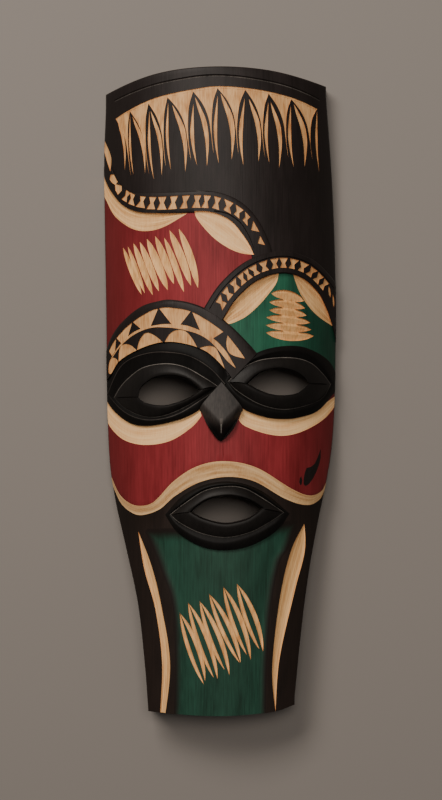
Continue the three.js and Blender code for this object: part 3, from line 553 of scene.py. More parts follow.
# %% Round the front edge of the blank
EDGE_ROUND, ABOVE_FOOT = 0.9, 2.0
bpy.ops.object.mode_set(mode="EDIT")
bpy.ops.mesh.select_all(action="DESELECT")
bpy.ops.object.mode_set(mode="OBJECT")
uv_of = {}
for loop in body.data.loops:
    uv_of[loop.vertex_index] = tuple(body.data.uv_layers[0].data[loop.index].uv)
for edge in body.data.edges:
    a, b = edge.vertices
    on_top = all(body.data.vertices[i].co.z > ABOVE_FOOT * MM for i in (a, b))
    shared = any(uv_of[a][k] == uv_of[b][k] and uv_of[a][k] in (0.0, 1.0) for k in (0, 1))
    edge.select = on_top and shared
bpy.ops.object.mode_set(mode="EDIT")
bpy.ops.mesh.select_mode(type="EDGE")
bpy.ops.mesh.bevel(offset=EDGE_ROUND * MM, segments=3, affect="EDGES")
bpy.ops.mesh.select_mode(type="VERT")
bpy.ops.object.mode_set(mode="OBJECT")
print("blank with rounded front edge:", len(body.data.polygons), "faces")

# %% [markdown]
# ## The painted fields
# The red and green fields are a hair lower than the black, as scraping and staining leaves them. They
# could be drawn in the material alone, but their borders would be blurred from close by. So each field
# is a shallow cut that carries its stain. Its edges end under the bands and scoops that follow.

# %% A field inside a drawn border
WIDEST = 86.0                 # just inside the log's radius, past which it has no surface
FIELD_TOP = CREST_HEIGHT + 12
FIELD_PAST = 5                # the prism reaches this far past the block, above and below
FIELD_COLUMN, FIELD_ROW = 2.5, 5.0


def field(name, border, level, drop, finish):
    """A flat-floored cut: a block over the whole area, trimmed by the prism of a closed border"""
    xs, ys = [p[0] for p in border], [p[1] for p in border]
    x0, x1, y0, y1 = min(xs) - 1, max(xs) + 1, min(ys) - 1, max(ys) + 1
    columns = steps(max(8, round((x1 - x0) / FIELD_COLUMN)))
    rows = steps(max(4, round((y1 - y0) / FIELD_ROW)))

    def at(u, v):
        return max(-WIDEST, min(WIDEST, between(x0, x1, u))), between(y0, y1, v)
    piece = lay(name, columns, rows, lambda u, v: (*at(u, v), FIELD_TOP),
                lambda u, v: (*at(u, v), level(*at(u, v)) - drop), [finish])
    bpy.ops.mesh.primitive_circle_add(vertices=len(border), radius=1, fill_type="NGON")
    prism = bpy.context.object
    for vertex, (x, y) in zip(prism.data.vertices, border):
        vertex.co = Vector((x, y, -FIELD_PAST)) * MM
    bpy.ops.object.mode_set(mode="EDIT")
    bpy.ops.mesh.select_all(action="SELECT")
    bpy.ops.mesh.extrude_region_move(
        TRANSFORM_OT_translate={"value": (0, 0, (FIELD_TOP + 2 * FIELD_PAST) * MM)})
    bpy.ops.object.mode_set(mode="OBJECT")
    prism.data.materials.append(finish)
    tidy_mesh(prism)
    combine(piece, [prism], "INTERSECT")
    return piece


WAVY_CENTRE = [
    (-73, 144), (-67.7, 131.5), (-59.7, 122.4), (-49.7, 117.8), (-36, 116.6), (-15, 117), (-2.5, 115.4),
    (9, 109.7), (17.5, 101), (24, 89.5), (26, 83)]
ARCH_CENTRE = [
    (-8, 40), (-3.4, 49.5), (5.5, 62.5), (19.5, 74.3), (36.9, 79.9), (53, 77), (65.3, 67.2), (71.5, 57.3),
    (75, 49), (78, 40), (80, 31)]
UPPER_RED = [
    (-84, 140), *WAVY_CENTRE[1:], *ARCH_CENTRE[3:0:-1], (-12, 46), (-30, 52), (-50, 48), (-63, 40),
    (-71, 28), (-84, 16)]
CHEEK_RED = [
    (-84, 2), (-66, -6), (-42, -12), (-20, -4), (0, 0), (20, -6), (45, -10), (66, -4), (84, 6), (84, -58),
    (56, -70), (0, -52), (-50, -76), (-84, -52)]
BROW_GREEN = [
    *ARCH_CENTRE[:-3], (84, 52), (84, 8), (68, 14), (55.6, 23), (39.8, 25), (20, 18), (12, 22), (2, 34)]
CHIN_GREEN_LEFT = [
    (-49, -84.4), (-42.8, -97.1), (-37.8, -109.3), (-30.3, -131.8), (-28.7, -167.5), (-29.7, -210)]
CHIN_GREEN_RIGHT = [(28, -210), (28.7, -167.5), (31.5, -131), (36.8, -105.2), (41.9, -97), (48.6, -79)]

# %% [markdown]
# ## The hollow back
# The back is scooped with a gouge about a thumb wide, in rows along the log, and left raw. Hundreds of
# single cuts would be slow and would never be seen, so the rows are a gentle ripple in the upper sheet
# of one big block.

# %% The hollow
RIM_WIDTH, HOLLOW_END, HOLLOW_HEIGHT = 11.0, 185.0, 33.0
HOLLOW_FALL_START, HOLLOW_FALL = -40.0, 0.05
HOLLOW_END_WIDTH, HOLLOW_SQUARE = 0.45, 6
SCALLOP_ACROSS, SCALLOP_ALONG, SCALLOP_SHIFT, SCALLOP_DEPTH = 11.0, 34.0, 0.37, 0.7
HOLLOW_COLUMNS, HOLLOW_ROWS = 60, 90


def in_hollow(u, v):
    y = HOLLOW_END * v
    close = math.sqrt(max(0, 1 - abs(v) ** HOLLOW_SQUARE))
    width = HOLLOW_END_WIDTH + (1 - HOLLOW_END_WIDTH) * close
    x = between(left_edge(y) + RIM_WIDTH, right_edge(y) - RIM_WIDTH, 0.5 + 0.5 * u * width)
    height = HOLLOW_HEIGHT + min(0, y - HOLLOW_FALL_START) * HOLLOW_FALL
    vault = close * math.sqrt(max(0, 1 - u * u))
    row = math.floor(x / SCALLOP_ACROSS)
    stroke = y / SCALLOP_ALONG + SCALLOP_SHIFT * row
    push = abs(math.sin(math.pi * x / SCALLOP_ACROSS)) * abs(math.sin(math.pi * stroke))
    return x, y, max(0, height - SCALLOP_DEPTH * (1 - push)) * vault


hollow = lay("hollow", [-math.cos(t * math.pi) for t in steps(HOLLOW_COLUMNS)],
             [math.sin(math.pi * (t - 0.5)) for t in steps(HOLLOW_ROWS)],
             in_hollow, lambda u, v: (*in_hollow(u, v)[:2], -2), [back_wood])
fields = [field("red_forehead", UPPER_RED, front, STAIN_DEPTH, red_stain),
          field("red_cheeks", CHEEK_RED, front, STAIN_DEPTH, red_stain),
          field("green_brow", BROW_GREEN, front, STAIN_DEPTH, green_stain)]
combine(body, [hollow, *fields], "DIFFERENCE")
BLOTCH_DEPTH = STAIN_DEPTH + 0.05   # the dark patch on the cheek, a hair below the red
BLOTCH = [
    (62.5, -35.4), (62.5, -41), (61.6, -44.7), (59.7, -49.7), (57.3, -54.1), (54.8, -57.2), (52.6, -58.5),
    (51.3, -57.2), (51.3, -54.1), (52, -50.3), (53.2, -47.2), (56, -46.6), (58.5, -44.7), (60.4, -41),
    (61.6, -37.9)]
SPOT = [(49.8, -52.2), (50.4, -54.7), (50.1, -57.2), (49.2, -57.8), (48.5, -55.9), (48.9, -53.4)]
combine(body, [field(name, border, front, BLOTCH_DEPTH, black_stain)
               for name, border in (("cheek_blotch", BLOTCH), ("cheek_spot", SPOT))], "DIFFERENCE")

# %% [markdown]
# ## The step under the cheeks
# Below the red cheeks the carver lowered the whole chin, and left the slanted step bare. Two cuts, one
# for the slope and one for the level below it, would leave a seam where they meet. The step and the
# lower level are one cut here, whose faces carry bare wood on the slope and black below it.

# %% The chin
WAVE_TOP = [
    (-86, -22), (-74, -42), (-69.1, -53.2), (-64, -63.3), (-56.3, -69.2), (-48.3, -70), (-41.4, -67.2),
    (-29.5, -54.4), (-15.7, -45.1), (1.2, -41.5), (21.7, -45.6), (45, -59.9), (56, -64), (63.9, -60.8),
    (67.5, -53), (74, -40), (86, -22)]
WAVE_FOOT = [
    (-86, -30), (-74, -50), (-68.4, -59.6), (-63.1, -69.7), (-55, -75.7), (-48.5, -76.4), (-37.9, -72.4),
    (-28.6, -64.2), (-13.2, -55.4), (4.3, -52), (20.8, -55), (39.9, -66.1), (54, -70.5), (62.4, -67.1),
    (67, -59), (74, -48), (86, -30)]
CHIN_END, CHIN_SIDE, CHIN_TOP = -210.0, 80.0, 75.0
HIGHLIGHT_FROM = 1.9              # the last tenth of the slope is a painted highlight along its upper edge
CHIN_ROWS = [0, 0.12, 0.25, 0.4, 0.55, 0.7, 0.8, 0.9, 1.0, 1.25, 1.5, 1.75, HIGHLIGHT_FROM, 2.0, 2.15]
wave_top, wave_foot = profile(WAVE_TOP), profile(WAVE_FOOT)


def chin_floor(u, v):
    """v runs up the chin to 1 at the foot of the step, to 2 at its top and a little beyond"""
    if v <= 1:
        y = between(CHIN_END, wave_foot(u), v)
        return u, y, chin_level(u, y)
    top, foot = wave_top(u), wave_foot(u)
    share = v - 1
    y = between(foot, top, share)
    high, low = front(u, top), chin_level(u, foot)
    return u, y, between(low, high, share)


def chin_finish(u, v):
    """Black below the step, bare wood on it, and a pale line along its upper edge: a painted highlight"""
    return side_stain if v < 1 else step_wood if v < HIGHLIGHT_FROM else painted_light_wood


chin = lay("chin", [between(-CHIN_SIDE, CHIN_SIDE, t) for t in steps(110)], CHIN_ROWS,
           lambda u, v: (*chin_floor(u, v)[:2], CHIN_TOP), chin_floor,
           [side_stain, step_wood, painted_light_wood], chin_finish)
combine(body, [chin], "DIFFERENCE")

# at its border the green starts in the air just over the black, and sinks softly below it
GREEN_LIP, GREEN_TOP = -0.05, 8.0
green_l, green_r = line(CHIN_GREEN_LEFT[::-1]), line(CHIN_GREEN_RIGHT)


def chin_green(u, v):
    x, y = mix(green_l(v), green_r(v), u)
    sink = between(GREEN_LIP, GREEN_DROP, ease(min(1, min(u, 1 - u, 1 - v) / FADE)))
    return x, y, chin_level(x, y) - sink


green = lay("chin_green", steps(36), steps(40),
            lambda u, v: (*chin_green(u, v)[:2], chin_green(u, v)[2] + GREEN_TOP), chin_green, [chin_stain])
combine(body, [green], "DIFFERENCE")

# %% [markdown]
# ## Bands that stand up
# The wavy band, the arch over the right eye and the brow over the left one are left standing a little
# proud. The carver lowers the wood round them, but joining them on gives the same shape with one small
# piece each. A curve with a bevel would have one width, so each is a block between two lines beside a
# centre line.

# %% Places beside a line, and raised strips
FINE, NEAR = 400, 0.004       # samples that measure a line, and the reach that tells its direction


def beside(points):
    """A function of (distance along the line, distance to its left), both in millimetres"""
    middle = line(points)
    fine = [middle(t) for t in steps(FINE)]
    long = sum(math.dist(p, q) for p, q in zip(fine, fine[1:]))

    def at(along, aside):
        t = along / long
        (x0, y0), (x1, y1) = middle(max(0, t - NEAR)), middle(min(1, t + NEAR))
        step = math.dist((x0, y0), (x1, y1))
        x, y = middle(t)
        return x - (y1 - y0) / step * aside, y + (x1 - x0) / step * aside
    return at, long


def strip(name, foot, head, section, count=60):
    """A raised strip between two lines; section is its cross-section as (share from foot to head, rise)"""
    rise = dict(section)

    def top(u, v):
        x, y = mix(foot(v), head(v), u)
        return x, y, front(x, y) + rise[u]

    def under(u, v):
        x, y = mix(foot(v), head(v), u)
        return x, y, front(x, y) - EMBED
    return lay(name, list(rise), steps(count), top, under, [black_stain])


def rounded(rise):
    """A cross-section with a level top that falls away fast at both edges"""
    half = [(0.0, 0.1 * rise), (0.02, 0.7 * rise), (0.06, rise), (0.2, rise), (0.35, rise)]
    return half + [(0.5, rise)] + [(1 - u, r) for u, r in reversed(half)]


wavy, wavy_long = beside(WAVY_CENTRE)
arch, arch_long = beside(ARCH_CENTRE)
wavy_head = profile([(0, 2.7), (20, 3.2), (42, 6.4), (69, 6), (98, 7.2), (130, 5.7)])
wavy_foot = profile([(0, -3), (17, -5.2), (30, -6.8), (45, -7.2), (130, -7)])
ARCH_HALF = 7.0
combine(body, [strip("wavy_band", lambda v: wavy(v * wavy_long, wavy_foot(v * wavy_long)),
                     lambda v: wavy(v * wavy_long, wavy_head(v * wavy_long)), rounded(BAND_RISE), 100)],
        "UNION")
combine(body, [strip("arch_band", lambda v: arch(v * arch_long, -ARCH_HALF),
                     lambda v: arch(v * arch_long, ARCH_HALF), rounded(ARCH_RISE), 80)], "UNION")

# %% [markdown]
# ## Scoops, leaves and the fringe
# All of these go through the stain into bare wood. A scoop beside a band is steep at the band, where the
# gouge enters, and runs out flat on the other side. One section for all would lose that slanted light,
# so each scoop names its own.

# %% Scoops beside the bands
SCOOP_DEPTH, STROKE_DEPTH, STACK_DEPTH, FRINGE_DEPTH, CHIP_DEPTH, LINE_DEPTH = 1.5, 1.0, 1.7, 0.65, 0.6, 0.7
SCOOPS = [
    # under the wavy band, left and right
    ([(-75, 140), (-72.9, 133.3), (-68.5, 125.4), (-61.7, 117.3), (-51.9, 112), (-37.6, 110.1),
      (-20.5, 109.6)],
     [(-75, 126), (-72.9, 121.9), (-66.8, 110.9), (-56, 102.2), (-45.5, 99.7), (-34.5, 102),
      (-20.5, 109.6)], STEEP, scooped_wood),
    ([(-16.3, 110.7), (-9, 110.5), (-1.4, 108.6), (6.3, 104.4), (12.4, 97.5), (17, 90.7), (20.2, 84)],
     [(-16.3, 110.7), (-15.1, 106.8), (-10.5, 100.6), (-3.7, 93.6), (4.7, 87.9), (12.4, 84.9),
      (20.2, 84)], CREST, painted_light_wood),
    # inside the right brow arch
    ([(35.6, 73.4), (27, 71.4), (17.4, 65.1), (9.2, 57.6), (3.1, 50.7), (1.5, 44)],
     [(35.6, 73.4), (33.9, 66.8), (28.4, 59.2), (22.9, 52.9), (16, 46.7), (9.9, 43.3), (4.5, 41.6),
      (1.5, 44)], ROUND, scooped_wood),
    ([(44.4, 73.4), (48.6, 72.2), (55.8, 67.8), (62.4, 61.9), (67.6, 54.6), (71.2, 47.8), (74, 40.9)],
     [(44.4, 73.4), (47.2, 65.3), (50.7, 58.5), (56.5, 51.2), (63.1, 45.9), (74, 40)], ROUND, scooped_wood),
    # the scoops under the eyes carry painted light, which stands in for the light the rims above take away
    # under the eyes
    ([(-74, -3), (-68.6, -10), (-56.6, -18.6), (-43.8, -20.2), (-25.1, -16.2), (-13, -10)],
     [(-74, -13), (-70, -21.9), (-60.6, -29.9), (-47, -32.7), (-31.3, -30), (-18, -21.6),
      (-11.9, -14.6)], STEEP, painted_light_wood),
    ([(13.4, -10), (20.8, -13.2), (33.1, -16), (42.5, -16), (55.3, -13), (73, -2)],
     [(10.8, -17), (14.6, -20.8), (26.9, -25.4), (39.4, -26.9), (52.1, -23.7), (65.2, -16.4),
      (74.5, -6)], STEEP, painted_light_wood),
]
cuts = [gouge(f"scoop_{i}", a, b, SCOOP_DEPTH, section, 40, finish=finish)
        for i, (a, b, section, finish) in enumerate(SCOOPS)]
cuts.append(gouge("side_sliver", [(-76, 160), (-73.4, 150), (-70, 139.4)],
                  [(-74, 160), (-69.6, 149), (-70, 139.4)], STROKE_DEPTH))
combine(body, cuts, "DIFFERENCE")

# %% [markdown]
# Two long leaves frame the chin, and six pairs of narrow strokes stand on its green. The two strokes of
# a pair start together at the top and bow away from each other. One stroke could be copied five times,
# but the carver's differ in length and slant, so each is given by its own two ends.

# %% Long leaves beside the chin, and the pairs of strokes on it
CHIN_LEAVES = [
    ([(-51.7, -86.4), (-47.9, -109.8), (-40.7, -135.1), (-36.6, -168), (-38, -202)],
     [(-51.7, -86.4), (-43.1, -107.9), (-36.8, -133), (-31.5, -168), (-34.8, -202)]),
    ([(52, -82), (43.4, -98.5), (36.4, -127.8), (31.7, -170), (33.8, -198.3)],
     [(52, -82), (52.3, -99.1), (45.7, -124.2), (36.3, -165), (33.8, -198.3)])]
# the top of each pair of strokes, and where its left and its right stroke end
STROKES = [
    ((-25.5, -135.8), (-10.4, -180.5), (-9.8, -178)),
    ((-20.4, -129.1), (-4.3, -176.3), (-2.1, -176.9)),
    ((-13.1, -128.2), (2.2, -171.1), (5.2, -174.6)),
    ((-7.4, -123.5), (11.6, -167), (12.1, -166.9)),
    ((1.4, -119.2), (16, -162.1), (18.3, -165.3)),
    ((9.8, -117.4), (23.7, -158.9), (26, -160.5))]
cuts = [gouge(f"chin_leaf_{i}", a, b, SCOOP_DEPTH, ROUND, 36, chin_level, scooped_wood)
        for i, (a, b) in enumerate(CHIN_LEAVES)]
LEFT_WIDTH, LEFT_BOW = 2.5, 2
RIGHT_WIDTH, RIGHT_BOW, RIGHT_LATER = 2.9, -3, 0.02
BLUNT, LEAF_FULL = 0.6, 0.7   # how blunt a leaf is at its tips: 1 is pointed like a lens
on_green = dict(depth=STROKE_DEPTH, level=green_level, finish=leaf_wood)
for i, (top, left, right) in enumerate(STROKES):
    cuts.append(leaf(f"stroke_left_{i}", top, left, LEFT_WIDTH, LEFT_BOW, BLUNT, **on_green))
    cuts.append(leaf(f"stroke_right_{i}", mix(top, right, RIGHT_LATER), right, RIGHT_WIDTH, RIGHT_BOW, BLUNT,
                     **on_green))
combine(body, cuts, "DIFFERENCE")

# %% [markdown]
# The fringe hangs from a thin strip of bare wood. Between two apices hangs a spike that narrows to a
# long tail, and from under each apex two thin blades run down beside the spikes. One bay could be
# repeated by an Array modifier, but the bays lean more and more towards the side. So the tips are
# placed one by one, and only the swing of the edges is shared, as a share of the bay's width.

# %% The fringe
FRINGE_EDGE = [
    (-66.5, 172.6), (-58.4, 176.3), (-45.4, 180.9), (-33.5, 183.6), (-17, 186), (-2.7, 187.6),
    (14.7, 186.8), (29.2, 185.2), (43.1, 182.8), (51.6, 180.6), (60.6, 177.6)]
APICES = [
    (-66.3, 172.4), (-57.1, 176), (-45.1, 179.3), (-33, 182), (-17.1, 184.7), (-2.2, 186.5), (14.9, 185.7),
    (29.3, 184), (43.5, 181.8), (59.8, 177.2)]
# each bay: the spike's tip, then start and tip of the blades to its right and to its left
FRINGE_BAYS = [
    ((-56.2, 134.6), (-65.2, 171.6), (-60.3, 139), (-56.9, 173.8), (-54.6, 135.1)),
    ((-44.6, 134.9), (-55.4, 172.2), (-47.1, 135.8), (-44.4, 174.3), (-41.6, 131.5)),
    ((-34, 138.6), (-43.6, 174.2), (-36.6, 133.6), (-32.6, 178.6), (-30.9, 136.7)),
    ((-18.3, 141.7), (-30, 176.9), (-21.9, 135), (-16.9, 177.3), (-14.8, 138.8)),
    ((-4.4, 145.5), (-16, 181.1), (-8.6, 138), (-2, 181.9), (-1.4, 139.7)),
    ((10.7, 145.6), (-0.3, 183.2), (6.5, 142.1), (14.6, 180.4), (13.7, 138.8)),
    ((27, 144.1), (17.1, 180), (23, 141.5), (29.2, 178.9), (29.7, 140.8)),
    ((41.6, 145), (30.5, 178.7), (35.9, 138.4), (43.3, 178.2), (45, 139.4)),
    ((57.2, 145.2), (45.1, 178.9), (52, 140.1), (60.3, 177), (61.6, 138.1))]
# how far the two edges of each kind of cut swing sideways, as (share of the length, share of the bay)
SPIKE_EDGES = ([(0, 0), (0.2, 0.22), (0.42, 0.27), (0.68, 0.16), (0.86, 0.06), (1, 0)],
               [(0, 0), (0.2, -0.145), (0.43, -0.17), (0.7, -0.13), (1, 0)])
RIGHT_EDGES = ([(0, 0), (0.14, 0.15), (0.36, 0.3), (0.65, 0.25), (1, 0)],
               [(0, 0), (0.14, 0.02), (0.36, 0.1), (0.65, 0.11), (1, 0)])
LEFT_EDGES = ([(0, 0), (0.4, -0.18), (0.7, -0.15), (1, 0)],
              [(0, 0), (0.4, -0.04), (0.7, -0.05), (1, 0)])
LAST_BAY = 0.6                # the last blade has less room beside it
STRIP_DROP = 0.4              # the strip reaches a little below the apices
APEX_LAP = 0.08               # two neighbouring spikes overlap a hair, as two real cuts do


def dropped(points, drop):
    return [(x, y - drop) for x, y in points]


def swung(start, end, shares, bay):
    return [(x + share * bay, y) for (x, y), share in ((mix(start, end, t), s) for t, s in shares)]


def hanging(name, first, second, tip, edges, bay, count):
    """A pointed cut between two edges that swing to the same tip"""
    return gouge(name, *(swung(start, tip, edge, bay) for start, edge in zip((first, second), edges)),
                 FRINGE_DEPTH, FLAT, count)


cuts = [gouge("fringe_top", FRINGE_EDGE, dropped(APICES, STRIP_DROP), FRINGE_DEPTH, FLAT, 60)]
for i, (tip, right_start, right_tip, left_start, left_tip) in enumerate(FRINGE_BAYS):
    here, after = APICES[i], APICES[i + 1]
    bay = after[0] - here[0]
    left, right = (here[0] - APEX_LAP, here[1]), (after[0] + APEX_LAP, after[1])
    cuts.append(hanging(f"spike_{i}", left, right, tip, SPIKE_EDGES, bay, 24))
    cuts.append(hanging(f"blade_right_{i}", right_start, right_start, right_tip, RIGHT_EDGES, bay, 20))
    if after is APICES[-1]:
        bay *= LAST_BAY
    cuts.append(hanging(f"blade_left_{i}", left_start, left_start, left_tip, LEFT_EDGES, bay, 20))
combine(body, cuts, "DIFFERENCE")

# %% [markdown]
# Nine upright leaves stand side by side on the red forehead, and six lying ones are stacked on the
# green. In the comb each leaf is deepest along its middle. In the stack the leaves overlap, and the
# sharp line between two of them is what shows, so there the section is deepest at the two edges.

# %% The comb of nine leaves and the stack of six
# each leaf: its two tips, its width and how far it bows
COMB = [
    ((-61.3, 90.6), (-49.2, 60.4), 3.4, 0.2),
    ((-58.2, 91.1), (-47.2, 61.2), 3, 0),
    ((-54.5, 92.8), (-42.2, 59.9), 4.2, 0),
    ((-50.4, 93.3), (-38.3, 62.1), 4.4, -0.2),
    ((-45.9, 94.9), (-32.7, 62.6), 5.2, -0.2),
    ((-40.6, 96.2), (-28.9, 66.3), 4.8, -0.2),
    ((-35, 95.1), (-22.7, 61.2), 3.9, -0.4),
    ((-31.7, 99.6), (-18.4, 65.1), 5, -0.6),
    ((-25.9, 100.2), (-14.1, 63.6), 4.7, -1.2)]
STACK = [
    ((30.8, 60.6), (51.5, 56.6), 6.2, -1.1), ((29.6, 55.2), (52.2, 52.2), 5.2, -0.7),
    ((29.6, 50.3), (53.3, 47.7), 5.1, -0.6), ((27.7, 45.8), (55.6, 43.2), 5.1, -0.4),
    ((27.5, 41), (56.4, 38.9), 5.1, -0.1), ((27.5, 36.5), (57.9, 35.1), 6.1, 1.1)]
combine(body, [leaf(f"{name}_{i}", *form, LEAF_FULL, depth=depth, section=section, finish=leaf_wood)
               for name, forms, depth, section in (("comb", COMB, STROKE_DEPTH, CREASED),
                                                   ("stack", STACK, STACK_DEPTH, ROOF))
               for i, form in enumerate(forms)], "DIFFERENCE")

# %% [markdown]
# Three thin lines are cut with the corner of a chisel and stained black: under the domed top, and along
# the wavy band and the arch. The crack under the nose and the scratch on the forehead are made in the
# same way. A bump texture would be less work, but these lines have real edges that catch the light.

# %% Thin lines, cut with the corner of a chisel
TOP_LINE = [
    (-67.3, 184.8), (-54.8, 188.2), (-40.5, 191.3), (-26.6, 193.2), (-12.9, 194.7), (0, 195), (16.8, 193.8),
    (37.5, 191), (51.7, 187.7), (61.9, 184.4)]
WAVY_LINE = [(-4.3, 111), (0.9, 110.2), (5.9, 108.4), (12.6, 103.1), (17.5, 95), (19.9, 88.8)]
LINE_WIDTH, CRACK_DEPTH, SCRATCH_DEPTH = 0.9, 0.6, BAND_RISE + 0.3
HIGHLIGHT_LINE_WIDTH, HIGHLIGHT_LINE_DEPTH = 0.45, 0.4
arch_line = [arch(s, 3.9) for s in range(10, 104, 6)]
on_band, on_arch = raised(front, BAND_RISE), raised(front, ARCH_RISE)


def thin(name, points, level, width=LINE_WIDTH, depth=LINE_DEPTH, finish=black_stain):
    return gouge(name, points, dropped(points, width), depth, CREASED, 60, level, finish)


cuts = [thin("top_line", TOP_LINE, front), thin("wavy_line", WAVY_LINE, on_band),
        thin("arch_line", arch_line, on_arch),
        # a pale line along the top line's lower edge: a painted highlight where the groove's edge catches the
        # light
        thin("top_line_painted_highlight", dropped(TOP_LINE, LINE_WIDTH), front, HIGHLIGHT_LINE_WIDTH, HIGHLIGHT_LINE_DEPTH,
             worn_and_highlight_stain),
        leaf("crack", (1.2, -30.6), (1.5, -41.4), 0.45, depth=CRACK_DEPTH, finish=red_stain),
        leaf("scratch", (-17.5, 123.4), (-6.7, 122.4), 0.7, depth=SCRATCH_DEPTH, level=on_band,
             finish=worn_and_highlight_stain)]
combine(body, cuts, "DIFFERENCE")

# %% [markdown]
# ## Rows of chips
# Two rows of three-sided chips meet point over point and leave black diamonds between them, so that
# the bare wood looks like a row of hourglasses. An Array modifier along the band would make them all
# alike, but the carver set them by eye and none is like the next. So each is given by where its head
# and its foot begin and end along the band.

# %% Hourglass chips along the two bands
WAVY_GLASSES = [
    (23.4, 27.6, 24.8, 28.2), (27, 31.2, 29.6, 33.5), (35.4, 39.4, 34.4, 39.9), (42, 46.6, 41, 46),
    (47.9, 53, 47.3, 53), (55.6, 60.3, 53.8, 59.3), (63.1, 67.7, 61.2, 65.9), (70.2, 74.4, 68.6, 74.2),
    (76, 79.9, 74.8, 79.5), (81.8, 85.6, 82, 87), (87.5, 93, 89.7, 95.1), (94.6, 99.7, 96.7, 101.2),
    (100.9, 105, 103.3, 108)]
ARCH_GLASSES = [
    (15.6, 20.3, 13.2, 18.2), (22, 26.4, 20, 25.2), (29, 33.6, 26.8, 31.5), (35.2, 39.2, 33, 37.2),
    (39.6, 42.4, 38.6, 42.4), (43.2, 48, 44, 48), (50, 54.9, 49.5, 54.1), (57.2, 61.7, 56.4, 60.6),
    (62.6, 67, 62.4, 66.6), (68.7, 73.6, 68.4, 72.2), (75, 80, 75, 78.8), (82, 86, 81, 85.2),
    (87.3, 91.4, 87.4, 91.8), (92.6, 96.2, 93.4, 97)]
wavy_high = profile([(20, 3.1), (32, 3.7), (75, 3.6), (92, 4.2), (105, 4.2)])
wavy_low = profile([(20, -2.4), (36, -3.3), (50, -4.3), (75, -4.2), (85, -3.5), (95, -2), (108, -0.4)])
LONE_CHIPS = [
    [(-69.9, 137.7), (-67.6, 137.4), (-64.7, 132.3), (-66.7, 130.6), (-68.8, 132.2), (-70.5, 134.7)],
    [(-66.8, 131.3), (-62.2, 129.5), (-62.2, 126.4), (-64.8, 124.1), (-66.5, 127.3)],
    [(19.7, 104.9), (23.5, 98.1), (18.4, 99.1)],
    [(23.9, 95.8), (27, 90.1), (22.5, 91.1)]]
ARCH_END_CHIPS = [
    [(67.8, 66.9), (68.8, 64.6), (69.2, 61.9), (68.9, 59.6), (67.9, 61.4), (67.5, 64.2)],
    [(70.6, 62.2), (71.3, 59.5), (71.6, 56), (71.3, 53.8), (70.7, 55.5), (70.4, 59)]]
POINT = 0.83                  # the share of the height that each chip's point reaches, which makes the waist
WAVY_WIDER, ARCH_WIDER = 0.15, 0.3
ARCH_HIGH, ARCH_LOW = 2.7, -3.4


def hourglasses(name, at, glasses, high, low, level, wider):
    """Two chips for each hourglass, between high(along) and low(along) beside the band's centre line"""
    pieces = []
    for i, (head0, head1, foot0, foot1) in enumerate(glasses):
        head, foot = (head0 + head1) / 2, (foot0 + foot1) / 2
        top, bottom = (head, high(head)), (foot, low(foot))
        for part, start, stop, here, there in (("head", head0, head1, top, bottom),
                                               ("foot", foot0, foot1, bottom, top)):
            corners = [at(start - wider, here[1]), at(stop + wider, here[1]), at(*mix(here, there, POINT))]
            pieces.append(chip(f"{name}_{i}_{part}", corners, CHIP_DEPTH, level))
    return pieces


chips = hourglasses("wavy_chip", wavy, WAVY_GLASSES, wavy_high, wavy_low, on_band, WAVY_WIDER)
chips += hourglasses("arch_chip", arch, ARCH_GLASSES, lambda s: ARCH_HIGH, lambda s: ARCH_LOW, on_arch,
                     ARCH_WIDER)
chips += [chip(f"lone_chip_{i}", corners, CHIP_DEPTH, on_band) for i, corners in enumerate(LONE_CHIPS)]
chips += [chip(f"arch_end_{i}", corners, CHIP_DEPTH, on_arch) for i, corners in enumerate(ARCH_END_CHIPS)]
combine(body, chips, "DIFFERENCE")

# %% [markdown]
# ## The left brow
# A black rim, then bare wood with black triangles on both sides of a thin rib. It is tempting to model
# the black triangles, but the carver cut what is pale: the teeth between the triangles, the rib itself
# and the domes under it. All of them are gouge blocks with a flat floor between two of the brow's lines.

# %% Left brow
brow_head = profile([
    (-76, 18), (-72, 28), (-69.9, 33.5), (-63.2, 42.6), (-50.1, 52.6), (-37.5, 56.2), (-31.2, 56.7),
    (-18.9, 54.6), (-6.7, 49.6), (5.5, 40.8), (17.7, 28.7), (22.5, 23)])
brow_wood = profile([
    (-72, 22), (-70.6, 26), (-66.5, 32.8), (-56.6, 42.3), (-43.7, 49.9), (-37, 51.7), (-31.2, 51.8),
    (-18.9, 49.4), (-6.7, 42.6), (4, 34.7)])
rib_top = profile([
    (-70, 20), (-67.5, 24.6), (-58, 34.8), (-49.5, 39.3), (-37.5, 41.6), (-31.2, 41.8), (-18.9, 40.1),
    (-4.9, 32.9), (3.3, 24.3), (8.8, 14.9)])
rib_under = profile([
    (-70, 19.2), (-67.5, 23.6), (-56.6, 34), (-43.7, 39.5), (-31.2, 39.4), (-23.8, 38.2), (-12.8, 34.8),
    (-4.9, 29.2), (5.5, 17), (8.8, 14.7)])
brow_foot = profile([
    (-75, 4), (-69.2, 11.5), (-64.2, 19), (-52.3, 25.9), (-40.6, 29.9), (-31, 30.8), (-22, 29.5),
    (-14.6, 27.3), (-6.7, 23.1), (3, 13.4), (9, 5)])


def along(edge, start, stop):
    return lambda t: (between(start, stop, t), edge(between(start, stop, t)))


BROW_SECTION = [*((u, BROW_RISE) for u in (0.0, 0.35, 0.7, 0.88)), (0.96, BROW_RISE - 0.4),
                (1.0, BROW_RISE - 1.4)]
combine(body, [strip("left_brow", along(brow_foot, -74, 7), along(brow_head, -75.5, 22), BROW_SECTION)],
        "UNION")
